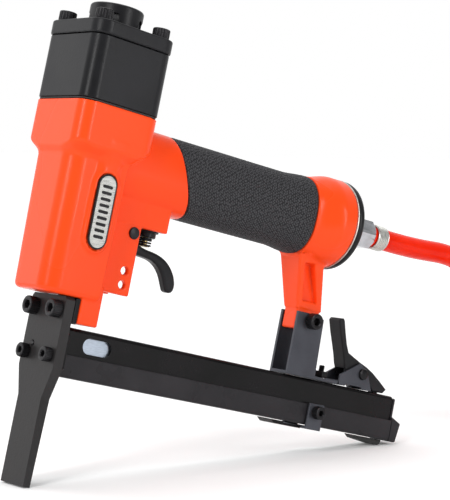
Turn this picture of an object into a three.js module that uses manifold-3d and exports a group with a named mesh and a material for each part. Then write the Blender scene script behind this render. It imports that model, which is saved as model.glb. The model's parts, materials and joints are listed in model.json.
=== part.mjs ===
// Pneumatic long-nose upholstery staple gun with its air hose.
// Millimetres, +Z up. The tool stands on its nose tip and on the foot under the magazine.
// Inside the "tool" group X runs from the nose to the rear along the magazine, Y runs across,
// and Z runs up along the driving axis. The hose is laid out in the outer frame, on the floor.
import * as THREE from 'three';
import { mergeVertices } from 'three/addons/utils/BufferGeometryUtils.js';
import Module from 'manifold-3d';

const wasm = await Module();
wasm.setup();

// ---------------------------------------------------------------- driving dimensions
const GAP = 0.3;                                    // clearance between touching pieces
const M5 = { shank: 2.5, head: 4.25, height: 5, key: 2.3 };
const M4 = { shank: 2.0, head: 3.5, height: 4, key: 1.7 };

const DRIVE = { x: 2.25, bore: 12.6, liner: 14.2, stroke: 74 };   // driving axis and cylinder
const BLADE = { thick: 0.9, half: 4.5, tip: 76.5 };
const NOSE = { half: 14.7, tipHalf: 10, thick: 5.2, tipThick: 3.8, top: 91, taperTop: 56, taperEnd: 42 };
const GUIDE = { x0: NOSE.thick + GAP, x1: 8, z0: 78.8 };
const CHANNEL = { x0: 1.5, x1: 3.0, half: 4.9 };    // slot for the blade and the staples
const NOSE_SCREWS = { y: 9.95, upper: 84.4, lower: 62.6 };

const HEAD = { x: 5.5, half: 22.6, corner: 7, z0: 183.2, z1: 213.6 };
const COVER = { half: 23.2, z0: 213.9, z1: 220.9 };
const BOSS = { radius: 13.1, z0: 221.2, z1: 232.4 };
const HEAD_SCREWS = { x: 17, y: 15.5 };

const BARREL = { x: 2.5, half: 17.6, corner: 6.5, z0: 91.3, collar: 164, step: 158, top: 182, draft: 0.055 };
const CHEEK = { half: 10, inner: 6.8, x1: 38, z0: 97.3 };
const COLUMN = { x1: 20.2, z0: 79.2 };              // foot of the casting behind the nose plate
const VALVE_BLOCK = { x1: 53.7, z0: 131.5, z1: 147, valveX: 48 };
const HANDLE = { z: 160, halfY: 15.5, halfZ: 19.4, x1: 163, sleeveX1: 141, endRadius: 24 };
const SLEEVE = { wall: 2.2, topX: 47, bottomX: 63 };
const AIR_WAY = { halfY: 9.5, halfZ: 13, x0: 14 };
const BADGE = { x: 7.3, z: 133, length: 36, width: 10.6, y: -19.4, padY: -18.3 };

const MAG = { x0: 5.6, x1: 228.5, half: 6.2, inner: 5, z0: 65.4, z1: 77.3 };
const SLIDE = { x0: 8, half: 8, inner: 6.8, z0: 53.2, z1: 64.4, floor: 1.4 };
const RAIL = { x0: 9, half: 3.5, inner: 2.6, z0: 56.8, z1: 73.2 };
const STAPLES = { x1: 104, half: 4.5, wire: 0.65, z0: 62.5, z1: 74.5 };
const PUSHER = { x0: 104.4, x1: 116, half: 4.3 };
const WINDOW = { x: 27.4, z: 70.1, length: 14.4, width: 7.6 };
const FOOT = { x0: 207.6, x1: 226, z: 49.7, x: 224.5, half: 5 };

const BRACKET = { x0: 149, x1: 168, half: 7, wall: 1.5, z0: 77.6, z1: 110.8, screwX: 158.6, screwZ: 107 };
const STUD = { x: 178.6, radius: 1.6, top: 86, plateX: 186 };
const LEG = { half: 5.3, topHalf: 8.6 };
const LATCH = { pinX: 203.2, pinZ: 85.7, half: 4.7, wall: 1.2 };
const STRAP = { x0: 166.5, x1: 177, half: 9.8, inner: 8.4, z0: 51.2, z1: 65, screwZ: 60.6 };
const TRIGGER = { x: 33.7, z: 127.9, half: 4 };

const LEAN = Math.atan2(FOOT.z, FOOT.x - NOSE.tipThick);   // the tool leans back onto its foot
const CENTRE_X = 122.3;                                    // middle of the standing tool

const HOSE = { radius: 5.8, sides: 10, startX: 193.4 };
const HANK = { startX: 262, pitch: 12, fold: 36, straight: 96, layers: 3, lift: 1.5 };
const PLUG = { radius: 6.3, length: 42 };
const WIDE = 30;                                    // half width of a tool that cuts right through

// ---------------------------------------------------------------- materials
function paint(colour, roughness, metalness = 0) {
  return new THREE.MeshStandardMaterial({ color: colour, roughness, metalness });
}
const MATERIAL = {
  red: paint(0xf8482a, 0.3),
  black: paint(0x38383a, 0.45, 0.3),
  steel: paint(0x4a4845, 0.45, 0.8),
  screw: paint(0x34343a, 0.4, 0.8),
  bluedSteel: paint(0x55575f, 0.4, 0.8),
  grip: paint(0x2c2c2f, 0.9),
  rubber: paint(0x1c1c1c, 0.85),
  chrome: paint(0xc8ccd0, 0.15, 1),
  alloy: paint(0xbebeb8, 0.4, 0.9),
  spring: paint(0x9a9a9c, 0.3, 1),
  brass: paint(0xb49352, 0.35, 1),
  hose: paint(0xf63a18, 0.35),
};

// ---------------------------------------------------------------- basic shapes
function block(x0, x1, y0, y1, z0, z1) {
  const box = new THREE.BoxGeometry(x1 - x0, y1 - y0, z1 - z0);
  return box.translate((x0 + x1) / 2, (y0 + y1) / 2, (z0 + z1) / 2);
}

// A bar that is the same on both sides of the middle plane.
function bar(x0, x1, half, z0, z1) {
  return block(x0, x1, -half, half, z0, z1);
}

// A round rod along x, y or z, from a to b; at gives its two other coordinates.
function rod(axis, radius, a, b, at, sides = 16) {
  const cylinder = new THREE.CylinderGeometry(radius, radius, b - a, sides);
  if (axis === 'x') return cylinder.rotateZ(-Math.PI / 2).translate((a + b) / 2, at[0], at[1]);
  if (axis === 'y') return cylinder.translate(at[0], (a + b) / 2, at[1]);
  return cylinder.rotateX(Math.PI / 2).translate(at[0], at[1], (a + b) / 2);
}

// Turned piece about a line along z through (x, 0): profile of [radius, z] points.
function turned(profile, x = DRIVE.x, sides = 20) {
  const points = profile.map(([radius, z]) => new THREE.Vector2(radius, z));
  return new THREE.LatheGeometry(points, sides).rotateX(Math.PI / 2).translate(x, 0, 0);
}

function washer(outer, inner, z0, z1, x = DRIVE.x) {
  return turned([[inner, z0], [outer, z0], [outer, z1], [inner, z1], [inner, z0]], x);
}

// Side view shape in x and z, thick in y from y0 to y1.
function slab(shape, y0, y1) {
  const solid = new THREE.ExtrudeGeometry(shape, { depth: y1 - y0, bevelEnabled: false, curveSegments: 5 });
  return solid.rotateX(Math.PI / 2).translate(0, y1, 0);
}

// The same from an outline of [x, z] points.
function profile(points, y0, y1) {
  return slab(new THREE.Shape(points.map(([x, z]) => new THREE.Vector2(x, z))), y0, y1);
}

// Front view outline of [y, z] points, thick in x from x0 to x1.
function frontOutline(points, x0, x1) {
  const shape = new THREE.Shape(points.map(([y, z]) => new THREE.Vector2(y, z)));
  const solid = new THREE.ExtrudeGeometry(shape, { depth: x1 - x0, bevelEnabled: false });
  return solid.rotateX(Math.PI / 2).rotateZ(Math.PI / 2).translate(x0, 0, 0);
}

function roundedRect(cx, cy, halfX, halfY, r) {
  const shape = new THREE.Shape();
  shape.moveTo(cx - halfX + r, cy - halfY);
  shape.lineTo(cx + halfX - r, cy - halfY);
  shape.absarc(cx + halfX - r, cy - halfY + r, r, -Math.PI / 2, 0);
  shape.absarc(cx + halfX - r, cy + halfY - r, r, 0, Math.PI / 2);
  shape.absarc(cx - halfX + r, cy + halfY - r, r, Math.PI / 2, Math.PI);
  shape.absarc(cx - halfX + r, cy - halfY + r, r, Math.PI, Math.PI * 1.5);
  return shape;
}

// Outline with round ends about (cx, cy).
function pill(cx, cy, lengthX, lengthY) {
  return roundedRect(cx, cy, lengthX / 2, lengthY / 2, Math.min(lengthX, lengthY) / 2 - 0.01);
}

// Plan outline raised from z0 to z1.
function raised(shape, z0, z1, steps = 1, curveSegments = 3) {
  const options = { depth: z1 - z0, bevelEnabled: false, steps, curveSegments };
  return new THREE.ExtrudeGeometry(shape, options).translate(0, 0, z0);
}

// Moves every corner of a geometry by a rule.
function warp(geometry, rule) {
  const position = geometry.getAttribute('position');
  const p = new THREE.Vector3();
  for (let i = 0; i < position.count; i += 1) {
    rule(p.fromBufferAttribute(position, i));
    position.setXYZ(i, p.x, p.y, p.z);
  }
  return geometry;
}

// A helical spring of round wire, wound about a line along x or z.
function spring(axis, radius, wire, a, b, at, turns) {
  const points = [];
  const perTurn = 6;
  for (let i = 0; i <= turns * perTurn; i += 1) {
    const angle = (i / perTurn) * Math.PI * 2;
    const along = a + wire + ((b - a - 2 * wire) * i) / (turns * perTurn);
    const u = at[0] + radius * Math.cos(angle);
    const v = at[1] + radius * Math.sin(angle);
    points.push(axis === 'x' ? new THREE.Vector3(along, u, v) : new THREE.Vector3(u, v, along));
  }
  return tube(new THREE.CatmullRomCurve3(points), wire, 4, turns * perTurn);
}

function tube(path, radius, sides, steps) {
  const circle = new THREE.Shape();
  for (let i = 0; i < sides; i += 1) {
    const angle = (i / sides) * Math.PI * 2;
    const place = [radius * Math.cos(angle), radius * Math.sin(angle)];
    if (i === 0) circle.moveTo(...place);
    else circle.lineTo(...place);
  }
  return new THREE.ExtrudeGeometry(circle, { extrudePath: path, steps, bevelEnabled: false });
}

// ---------------------------------------------------------------- joining and cutting
function toSolid(geometry) {
  const bare = geometry.clone();
  bare.deleteAttribute('normal');
  bare.deleteAttribute('uv');
  const merged = mergeVertices(bare, 1e-4);
  const vertProperties = new Float32Array(merged.getAttribute('position').array);
  const triVerts = new Uint32Array(merged.index.array);
  return new wasm.Manifold(new wasm.Mesh({ numProp: 3, vertProperties, triVerts }));
}

function toGeometry(solid) {
  const mesh = solid.getMesh();
  const geometry = new THREE.BufferGeometry();
  geometry.setAttribute('position', new THREE.BufferAttribute(mesh.vertProperties, 3));
  geometry.setIndex(new THREE.BufferAttribute(mesh.triVerts, 1));
  return geometry;
}

function join(...geometries) {
  return toGeometry(geometries.map(toSolid).reduce((whole, piece) => whole.add(piece)));
}

function cut(geometry, ...tools) {
  return toGeometry(tools.map(toSolid).reduce((whole, tool) => whole.subtract(tool), toSolid(geometry)));
}

function common(a, b) {
  return toGeometry(toSolid(a).intersect(toSolid(b)));
}

// ---------------------------------------------------------------- the assembly
const model = new THREE.Group();
const tool = new THREE.Group();
tool.rotation.y = LEAN;
tool.position.set(-CENTRE_X, 0, NOSE.tipThick * Math.sin(LEAN));
model.add(tool);

function place(name, geometry, material, group = tool) {
  const mesh = new THREE.Mesh(geometry, material);
  mesh.name = name;
  group.add(mesh);
}

// A socket-head screw along an axis; the head's seat is at seat, side is the way the head points.
function screw(axis, size, seat, side, length, at) {
  const head = seat + side * size.height;
  const tip = seat - side * length;
  const key = head - side * size.height * 0.6;
  const span = (a, b) => [Math.min(a, b), Math.max(a, b)];
  const body = join(
    rod(axis, size.head, ...span(seat, head), at, 14),
    rod(axis, size.shank, ...span(tip, seat + side), at, 8),
  );
  return cut(body, rod(axis, size.key, ...span(key, head + side), at, 6));
}

function hole(axis, size, a, b, at) {
  return rod(axis, size.shank + 0.5, a, b, at, 10);
}

const headScrewPlaces = [];
for (const sx of [-1, 1]) {
  for (const sy of [-1, 1]) headScrewPlaces.push([HEAD.x + sx * HEAD_SCREWS.x, sy * HEAD_SCREWS.y]);
}

// ---------------------------------------------------------------- red casting
// Three levels of a rounded square: the rounded lower edge, the top of that edge, and the step.
function barrelShape() {
  const levels = [{ rise: 0, narrow: 0.9 }, { rise: 0.05, narrow: 1 }, { rise: 1, narrow: 1 }];
  const outline = roundedRect(0, 0, 1, 1, BARREL.corner / BARREL.half);
  return warp(raised(outline, 0, levels.length - 1, levels.length - 1), (p) => {
    const { rise, narrow } = levels[Math.round(p.z)];
    const half = BARREL.half * (1 - BARREL.draft * (1 - rise)) * narrow;
    p.x = BARREL.x + p.x * half;
    p.y *= half;
    p.z = BARREL.z0 + rise * (BARREL.step - BARREL.z0);
  });
}

// The collar keeps the head's square, with a sloping skirt down to the narrower barrel.
function collarShape() {
  const collar = raised(roundedRect(0, 0, HEAD.half, HEAD.half, HEAD.corner), BARREL.collar, BARREL.top);
  const outline = roundedRect(0, 0, 1, 1, HEAD.corner / HEAD.half);
  const skirt = warp(raised(outline, 0, 1), (p) => {
    const half = p.z > 0.5 ? HEAD.half : BARREL.half;
    p.x = p.x * half + (p.z > 0.5 ? HEAD.x : BARREL.x + 0.4);
    p.y *= half;
    p.z = p.z > 0.5 ? BARREL.collar + 0.5 : BARREL.step - 1.5;
  });
  return join(collar.translate(HEAD.x, 0, 0), skirt);
}

// Handle section at a distance along x: half width, half height.
function handleHalves(x) {
  const flare = THREE.MathUtils.smoothstep(x, HANDLE.sleeveX1, HANDLE.x1);
  return [
    THREE.MathUtils.lerp(HANDLE.halfY, HANDLE.endRadius, flare),
    THREE.MathUtils.lerp(HANDLE.halfZ, HANDLE.endRadius, flare),
  ];
}

function handleRod(x0, x1, halves, steps = 1) {
  const unit = new THREE.CylinderGeometry(1, 1, x1 - x0, 24, steps);
  unit.rotateZ(-Math.PI / 2).translate((x0 + x1) / 2, 0, 0);
  return warp(unit, (p) => {
    const [halfY, halfZ] = halves(p.x);
    p.y *= halfY;
    p.z = HANDLE.z + p.z * halfZ;
  });
}

// Upper and lower end of the sleeve's slanted front edge: all in front of that line is the neck.
function neckLine() {
  const rise = HANDLE.halfZ + 6;
  const slope = (SLEEVE.bottomX - SLEEVE.topX) / (2 * HANDLE.halfZ);
  const topX = SLEEVE.topX - slope * (rise - HANDLE.halfZ);
  const bottomX = SLEEVE.bottomX + slope * (rise - HANDLE.halfZ);
  return [[topX, HANDLE.z + rise], [bottomX, HANDLE.z - rise]];
}

function handleShape() {
  const inner = () => [HANDLE.halfY - SLEEVE.wall, HANDLE.halfZ - SLEEVE.wall];
  const outer = () => [HANDLE.halfY, HANDLE.halfZ];
  const [top, bottom] = neckLine();
  const neckCut = profile([[10, top[1]], top, bottom, [10, bottom[1]]], -WIDE, WIDE);
  const neck = common(handleRod(12, 80, outer), neckCut);
  const core = handleRod(30, 150, inner);
  const flare = handleRod(HANDLE.sleeveX1 + GAP, HANDLE.x1, handleHalves, 4);
  return join(neck, core, flare);
}

// The leg down to the magazine's bracket: wide where it leaves the handle, a tongue at its foot.
function legShape() {
  const foot = 112.4;
  const upper = profile([
    [138.6, 140.1], [141.7, 140.1], [141.7, 148], [156, 148], [166.3, foot], [148.8, foot],
  ], -1, 1);
  warp(upper, (p) => {
    const rise = THREE.MathUtils.clamp((p.z - foot) / 28, 0, 1);
    p.y *= THREE.MathUtils.lerp(LEG.half + GAP, LEG.topHalf, rise);
  });
  const pocket = [[151.5, 135.5], [153.2, 135.5], [162.3, 116.5], [155.2, 116.5], [149.5, 131]];
  const nearPocket = profile(pocket, -LEG.topHalf - 1, -3.6);
  const farPocket = profile(pocket, 3.6, LEG.topHalf + 1);
  const tongue = bar(149.6, 165, LEG.half, 101.6, 113);
  return cut(join(upper, tongue), nearPocket, farPocket);
}

function bodyCasting() {
  const column = bar(GUIDE.x1 + GAP, COLUMN.x1, NOSE.half, COLUMN.z0, BARREL.z0 + 8);
  const web = bar(14, CHEEK.x1, CHEEK.half, CHEEK.z0, 150);
  const block = profile([
    [14, 150], [14, VALVE_BLOCK.z0], [VALVE_BLOCK.x1, VALVE_BLOCK.z0],
    [VALVE_BLOCK.x1, 143], [50, VALVE_BLOCK.z1], [50, 150],
  ], -CHEEK.half, CHEEK.half);
  const badgePad = slab(pill(BADGE.x, BADGE.z, 14, BADGE.length + 2), BADGE.padY, BADGE.padY + 2.3);
  const whole = join(barrelShape(), collarShape(), handleShape(), legShape(), column, web, block, badgePad);

  const bore = rod('z', DRIVE.liner + GAP, 95, BARREL.top + 5, [DRIVE.x, 0], 24);
  const mouth = rod('z', DRIVE.liner + 2.6, 176, BARREL.top + 5, [DRIVE.x, 0], 24);
  const airWay = handleRod(AIR_WAY.x0, HANDLE.x1 + 5, () => [AIR_WAY.halfY, AIR_WAY.halfZ]);
  const endSeat = rod('x', 19, HANDLE.x1 - 8, HANDLE.x1 + 5, [0, HANDLE.z], 20);
  const bladeSlot = bar(CHANNEL.x0 - 0.4, CHANNEL.x1 + 0.4, CHANNEL.half + 0.4, 85, 96);
  const triggerRoom = join(
    bar(24, CHEEK.x1 + 5, CHEEK.inner, CHEEK.z0 - 5, VALVE_BLOCK.z0),
    bar(27, 41, CHEEK.inner, 120, VALVE_BLOCK.z0 + 2),
  );
  const valveBore = rod('z', 6.4, VALVE_BLOCK.z0 - 2, 152, [VALVE_BLOCK.valveX, 0]);
  const pinHole = rod('y', 2.2, -WIDE, WIDE, [TRIGGER.x, TRIGGER.z], 12);
  const lightening = [102.4, 109.3].map((z) => rod('y', 2.1, -WIDE, WIDE, [32.8, z], 16));
  const noseHoles = [-1, 1].map((s) => hole('x', M5, 0, 16, [s * NOSE_SCREWS.y, NOSE_SCREWS.upper]));
  const headHoles = headScrewPlaces.map((at) => hole('z', M5, 168, BARREL.top + 5, at));
  const legHole = hole('y', M5, -WIDE, WIDE, [BRACKET.screwX, BRACKET.screwZ]);
  return cut(whole, bore, mouth, airWay, endSeat, bladeSlot, triggerRoom, valveBore, pinHole,
    ...lightening, ...noseHoles, ...headHoles, legHole);
}

// ---------------------------------------------------------------- head and exhaust
function squareBlock(half, z0, z1) {
  return raised(roundedRect(HEAD.x, 0, half, half, HEAD.corner), z0, z1);
}

function headParts() {
  const through = (z0, z1) => headScrewPlaces.map((at) => hole('z', M5, z0, z1, at));
  const chamber = rod('z', 17, HEAD.z0 - 2, 207, [DRIVE.x + 1, 0], 20);
  const vent = rod('z', 5, 200, HEAD.z1 + 2, [HEAD.x, 0]);
  const head = cut(squareBlock(HEAD.half, HEAD.z0, HEAD.z1), chamber, vent, ...through(180, 216));
  place('cylinder_head', head, MATERIAL.black);

  const opening = rod('z', DRIVE.liner + 2.6, 180, 186, [DRIVE.x, 0], 20);
  const gasket = cut(squareBlock(HEAD.half - 0.4, BARREL.top + GAP, HEAD.z0 - GAP), opening,
    ...through(180, 186));
  place('head_gasket', gasket, MATERIAL.rubber);

  const coverVent = rod('z', 5, 207, 227, [HEAD.x, 0]);
  const cover = cut(squareBlock(COVER.half, COVER.z0, COVER.z1), coverVent, ...through(210, 224));
  place('exhaust_cover', cover, MATERIAL.black);

  const rim = BOSS.z1 - 1.5;
  const boss = turned([
    [0, BOSS.z0], [BOSS.radius, BOSS.z0], [BOSS.radius, rim], [BOSS.radius - 1.5, BOSS.z1], [0, BOSS.z1],
  ], HEAD.x, 24);
  const windows = headScrewPlaces.map(([x, y]) => {
    const angle = Math.atan2(y, x - HEAD.x);
    const recess = block(BOSS.radius - 1.6, BOSS.radius + 3, -4.2, 4.2, BOSS.z0 - 1, BOSS.z0 + 5.6);
    return recess.rotateZ(angle).translate(HEAD.x, 0, 0);
  });
  const outlet = rod('z', 8, BOSS.z0 - 1, BOSS.z0 + 4.4, [HEAD.x, 0]);
  const sideOutlet = rod('x', 2.4, HEAD.x, HEAD.x + 20, [0, BOSS.z0 + 2.6], 16);
  place('exhaust_deflector', cut(boss, outlet, sideOutlet, ...windows), MATERIAL.black);

  headScrewPlaces.forEach((at, i) => {
    place(`head_screw_${i + 1}`, screw('z', M5, COVER.z1 + GAP, 1, 46, at), MATERIAL.screw);
  });
}

// ---------------------------------------------------------------- cylinder, piston and head valve
function driveParts() {
  const flange = DRIVE.liner + 2.2;
  place('cylinder_liner', turned([
    [DRIVE.bore, 104], [DRIVE.liner, 104], [DRIVE.liner, 180], [flange, 180], [flange, 182],
    [DRIVE.liner, 182], [DRIVE.liner, 191], [DRIVE.bore, 191], [DRIVE.bore, 104],
  ]), MATERIAL.alloy);
  place('liner_seal', washer(flange, DRIVE.liner + GAP, 176.6, 179.6), MATERIAL.rubber);
  place('bumper', washer(DRIVE.liner - 0.3, 5.6, 95.3, 103.6), MATERIAL.rubber);

  const ringSeat = DRIVE.bore - 2.6;
  const outer = DRIVE.bore - GAP;
  const piston = turned([
    [0, 178], [outer, 178], [outer, 181.5], [ringSeat, 181.5], [ringSeat, 185.1],
    [outer, 185.1], [outer, 189.5], [9, 189.5], [8, 187], [0, 187],
  ]);
  const bladeSocket = bar(DRIVE.x - 0.8, DRIVE.x + 0.8, BLADE.half + GAP, 170, 182);
  place('piston', cut(piston, bladeSocket), MATERIAL.alloy);
  place('piston_ring', washer(outer + 0.1, ringSeat + GAP, 181.8, 184.8), MATERIAL.rubber);
  const thick = BLADE.thick / 2;
  place('driver_blade', bar(DRIVE.x - thick, DRIVE.x + thick, BLADE.half, BLADE.tip, 181.7), MATERIAL.spring);

  const valveX = DRIVE.x + 1;
  place('head_valve', turned([
    [0, 191.4], [16.4, 191.4], [16.4, 199], [10, 199], [10, 196], [0, 196],
  ], valveX), MATERIAL.black);
  place('head_valve_spring', spring('z', 13.2, 0.8, 199.3, 206.7, [valveX, 0], 3), MATERIAL.spring);
}

// ---------------------------------------------------------------- nose
function noseParts() {
  const taper = [
    [NOSE.tipHalf, 0], [NOSE.tipHalf, NOSE.taperEnd], [NOSE.half, NOSE.taperTop],
    [NOSE.half, NOSE.top - 1.5], [NOSE.half - 1.5, NOSE.top],
  ];
  const outline = [...taper, ...taper.map(([y, z]) => [-y, z]).reverse()];
  const side = [
    [0, 0], [NOSE.tipThick, 0], [NOSE.thick, SLIDE.z0], [NOSE.thick, NOSE.top], [0, NOSE.top],
  ];
  const blank = common(frontOutline(outline, 0, NOSE.thick), profile(side, -20, 20));
  const slot = bar(CHANNEL.x0, CHANNEL.x1, CHANNEL.half, -1, SLIDE.z0 + 1);
  const groove = bar(CHANNEL.x0, NOSE.thick + 1, CHANNEL.half, SLIDE.z0 + 0.5, NOSE.top + 1);
  const holes = [];
  for (const s of [-1, 1]) {
    holes.push(hole('x', M5, -2, 8, [s * NOSE_SCREWS.y, NOSE_SCREWS.upper]));
    holes.push(hole('x', M4, -2, 8, [s * NOSE_SCREWS.y, NOSE_SCREWS.lower]));
  }
  const pinHole = rod('x', 1.5, -2, 8, [6.6, 66.8], 16);
  place('nose_plate', cut(blank, slot, groove, pinHole, ...holes), MATERIAL.steel);
  place('nose_dowel', rod('x', 1.2, -0.4, 4.8, [6.6, 66.8], 16), MATERIAL.screw);

  const guide = bar(GUIDE.x0, GUIDE.x1, NOSE.half, GUIDE.z0, NOSE.top);
  const guideHoles = [-1, 1].map((s) => hole('x', M5, 4, 12, [s * NOSE_SCREWS.y, NOSE_SCREWS.upper]));
  place('driver_guide', cut(guide, ...guideHoles), MATERIAL.screw);

  ['left', 'right'].forEach((name, i) => {
    const y = (i === 0 ? 1 : -1) * NOSE_SCREWS.y;
    place(`nose_screw_${name}`, screw('x', M5, -GAP, -1, 15, [y, NOSE_SCREWS.upper]), MATERIAL.screw);
    place(`magazine_screw_${name}`, screw('x', M4, -GAP, -1, 7, [y, NOSE_SCREWS.lower]), MATERIAL.screw);
  });
}

// ---------------------------------------------------------------- magazine
function channelUp(x0, x1, half, inner, z0, z1, floor) {
  return cut(bar(x0, x1, half, z0, z1), bar(x0 - 1, x1 + 1, inner, z0 + floor, z1 + 1));
}

function channelDown(x0, x1, half, inner, z0, z1, roof) {
  return cut(bar(x0, x1, half, z0, z1), bar(x0 - 1, x1 + 1, inner, z0 - 1, z1 - roof));
}

function magazineParts() {
  const cover = channelDown(MAG.x0, MAG.x1, MAG.half, MAG.inner, MAG.z0, MAG.z1, 1.5);
  const flange = cut(bar(MAG.x0, 7.2, 13.4, 56.6, 74), bar(MAG.x0 - 1, 8, MAG.inner, 50, MAG.z1 - 1.5),
    ...[-1, 1].map((s) => hole('x', M4, 4, 9, [s * NOSE_SCREWS.y, NOSE_SCREWS.lower])));
  const window = slab(pill(WINDOW.x, WINDOW.z, WINDOW.length, WINDOW.width), -WIDE, WIDE);
  const latchSlot = bar(214.5, 222.5, 2.6, 74, 80);
  place('magazine_cover', cut(join(cover, flange), window, latchSlot), MATERIAL.black);

  const slide = channelUp(SLIDE.x0, 229.2, SLIDE.half, SLIDE.inner, SLIDE.z0, SLIDE.z1, SLIDE.floor);
  place('magazine_slide', slide, MATERIAL.black);
  const end = profile([[229.5, 66.3], [236.3, 63.5], [234.6, 52.9], [229.5, 52.9]], -SLIDE.half, SLIDE.half);
  place('magazine_end_block', join(end, bar(229.5, 231, MAG.half, 60, 76.4)), MATERIAL.black);

  const rail = channelDown(RAIL.x0, MAG.x1, RAIL.half, RAIL.inner, RAIL.z0, RAIL.z1, 1.2);
  place('staple_rail', rail, MATERIAL.alloy);
  const strip = channelDown(RAIL.x0, STAPLES.x1, STAPLES.half, STAPLES.half - STAPLES.wire,
    STAPLES.z0, STAPLES.z1, 0.9);
  place('staple_strip', strip, MATERIAL.chrome);

  const saddle = bar(PUSHER.x0, PUSHER.x1, PUSHER.half, 55, 74.6);
  const railRoom = channelDown(PUSHER.x0 - 1, PUSHER.x1 + 1, RAIL.half + 0.35, RAIL.inner - 0.4,
    RAIL.z0 - 0.4, RAIL.z1 + 0.4, 1.9);
  place('staple_pusher', cut(saddle, railRoom), MATERIAL.steel);
  place('pusher_spring', spring('x', 1.7, 0.35, PUSHER.x1 + GAP, MAG.x1 - 0.5, [0, 64], 18), MATERIAL.spring);

  const foot = [[FOOT.x0, 52.9], [210.4, 51], [FOOT.x, FOOT.z], [FOOT.x1, 50.6], [226.8, 52.9]];
  place('rear_foot', profile(foot, -FOOT.half, FOOT.half), MATERIAL.rubber);

  const strap = channelUp(STRAP.x0, STRAP.x1, STRAP.half, STRAP.inner, STRAP.z0, STRAP.z1, 1.6);
  const strapX = (STRAP.x0 + STRAP.x1) / 2;
  const strapHole = rod('y', M4.shank + 0.3, -12, -8, [strapX, STRAP.screwZ], 10);
  place('strap', cut(strap, strapHole), MATERIAL.bluedSteel);
  place('strap_screw', screw('y', M4, -STRAP.half - GAP, -1, 1.5, [strapX, STRAP.screwZ]), MATERIAL.screw);
  const leaf = [[145.2, 52.9], [147.8, 50.9], [166.2, 50.9], [166.2, 52], [154, 52], [154, 52.9]];
  place('slide_leaf', profile(leaf, -6, 6), MATERIAL.black);
}

// ---------------------------------------------------------------- support bracket and latch
function bracketParts() {
  const { x0, x1, half, wall, z0, z1 } = BRACKET;
  const slant = profile([
    [x0, z0], [x1 + 0.8, z0], [x1 - 0.4, z1 - 1.8], [x1 - 3, z1], [x0, z1],
  ], -half, half);
  const inside = bar(x0 - 1, x1 + 2, half - wall, z0 + 1.6, z1 + 1);
  const plate = bar(x1 - 1, STUD.plateX, 6.2, z0, z0 + 1.6);
  const studHole = rod('z', STUD.radius + GAP, z0 - 2, z0 + 4, [STUD.x, 0], 10);
  const screwHole = hole('y', M5, -20, 20, [BRACKET.screwX, BRACKET.screwZ]);
  place('support_bracket', cut(join(slant, plate), inside, studHole, screwHole), MATERIAL.bluedSteel);
  place('bracket_screw', screw('y', M5, -half - GAP, -1, 2 * half + 1.5, [BRACKET.screwX, BRACKET.screwZ]),
    MATERIAL.screw);
  place('bracket_stud', rod('z', STUD.radius, z0 + 0.2, STUD.top, [STUD.x, 0], 10), MATERIAL.screw);
  const nut = rod('z', 3.7, z0 + 1.9, z0 + 5.2, [STUD.x, 0], 6);
  const thread = rod('z', STUD.radius + 0.35, z0 - 2, STUD.top + 4, [STUD.x, 0], 10);
  place('stud_nut', cut(nut, thread), MATERIAL.screw);
}

function latchParts() {
  const { pinX, pinZ, half, wall } = LATCH;
  const outerHalf = half + GAP + wall;
  const sideView = [
    [187.2, MAG.z1 + GAP], [187.2, 83.2], [200.3, 91.2], [206.6, 87.4], [211.6, MAG.z1 + GAP],
    [204.5, MAG.z1 + GAP], [203.5, MAG.z1 + 1.3], [192.5, MAG.z1 + 1.3], [191.5, MAG.z1 + GAP],
  ];
  const shell = profile(sideView, -outerHalf, outerHalf);
  const inside = bar(180, 220, half + GAP, MAG.z1 + 2.6, 95);
  const pinHole = rod('y', 2, -20, 20, [pinX, pinZ], 12);
  place('latch_bracket', cut(shell, inside, pinHole), MATERIAL.bluedSteel);
  const pin = join(
    rod('y', 1.7, -outerHalf - 0.5, outerHalf + 0.5, [pinX, pinZ], 12),
    rod('y', 3.1, -outerHalf - 1.5, -outerHalf - GAP, [pinX, pinZ], 12),
    rod('y', 2.6, outerHalf + GAP, outerHalf + 1.3, [pinX, pinZ], 12),
  );
  place('latch_pin', pin, MATERIAL.screw);

  const lever = profile([
    [181, 111.6], [182, 112.8], [184, 112.8], [184.9, 111.8], [191.9, 95.5], [201, 92], [212, 87.8],
    [224.2, 80.3], [222, 78], [214, 78], [210, 81.2], [193.5, 82.6], [190.2, 89], [189, 97.6],
  ], -half, half);
  const pocket = profile([
    [193.3, 95], [191.5, 90.5], [194.8, 80], [209, 78], [214.5, 76], [220, 78.5], [211, 85.8], [200.6, 89.9],
  ], -half + wall, half - wall);
  const tooth = bar(216.8, 220.2, 2, STAPLES.z1 + 0.7, 79.5);
  place('latch_lever', cut(join(cut(lever, pocket), tooth), pinHole), MATERIAL.black);
  place('latch_spring', spring('z', 2.1, 0.4, MAG.z1 + 2.9, 90.2, [197.5, 0], 4), MATERIAL.spring);
}

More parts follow.
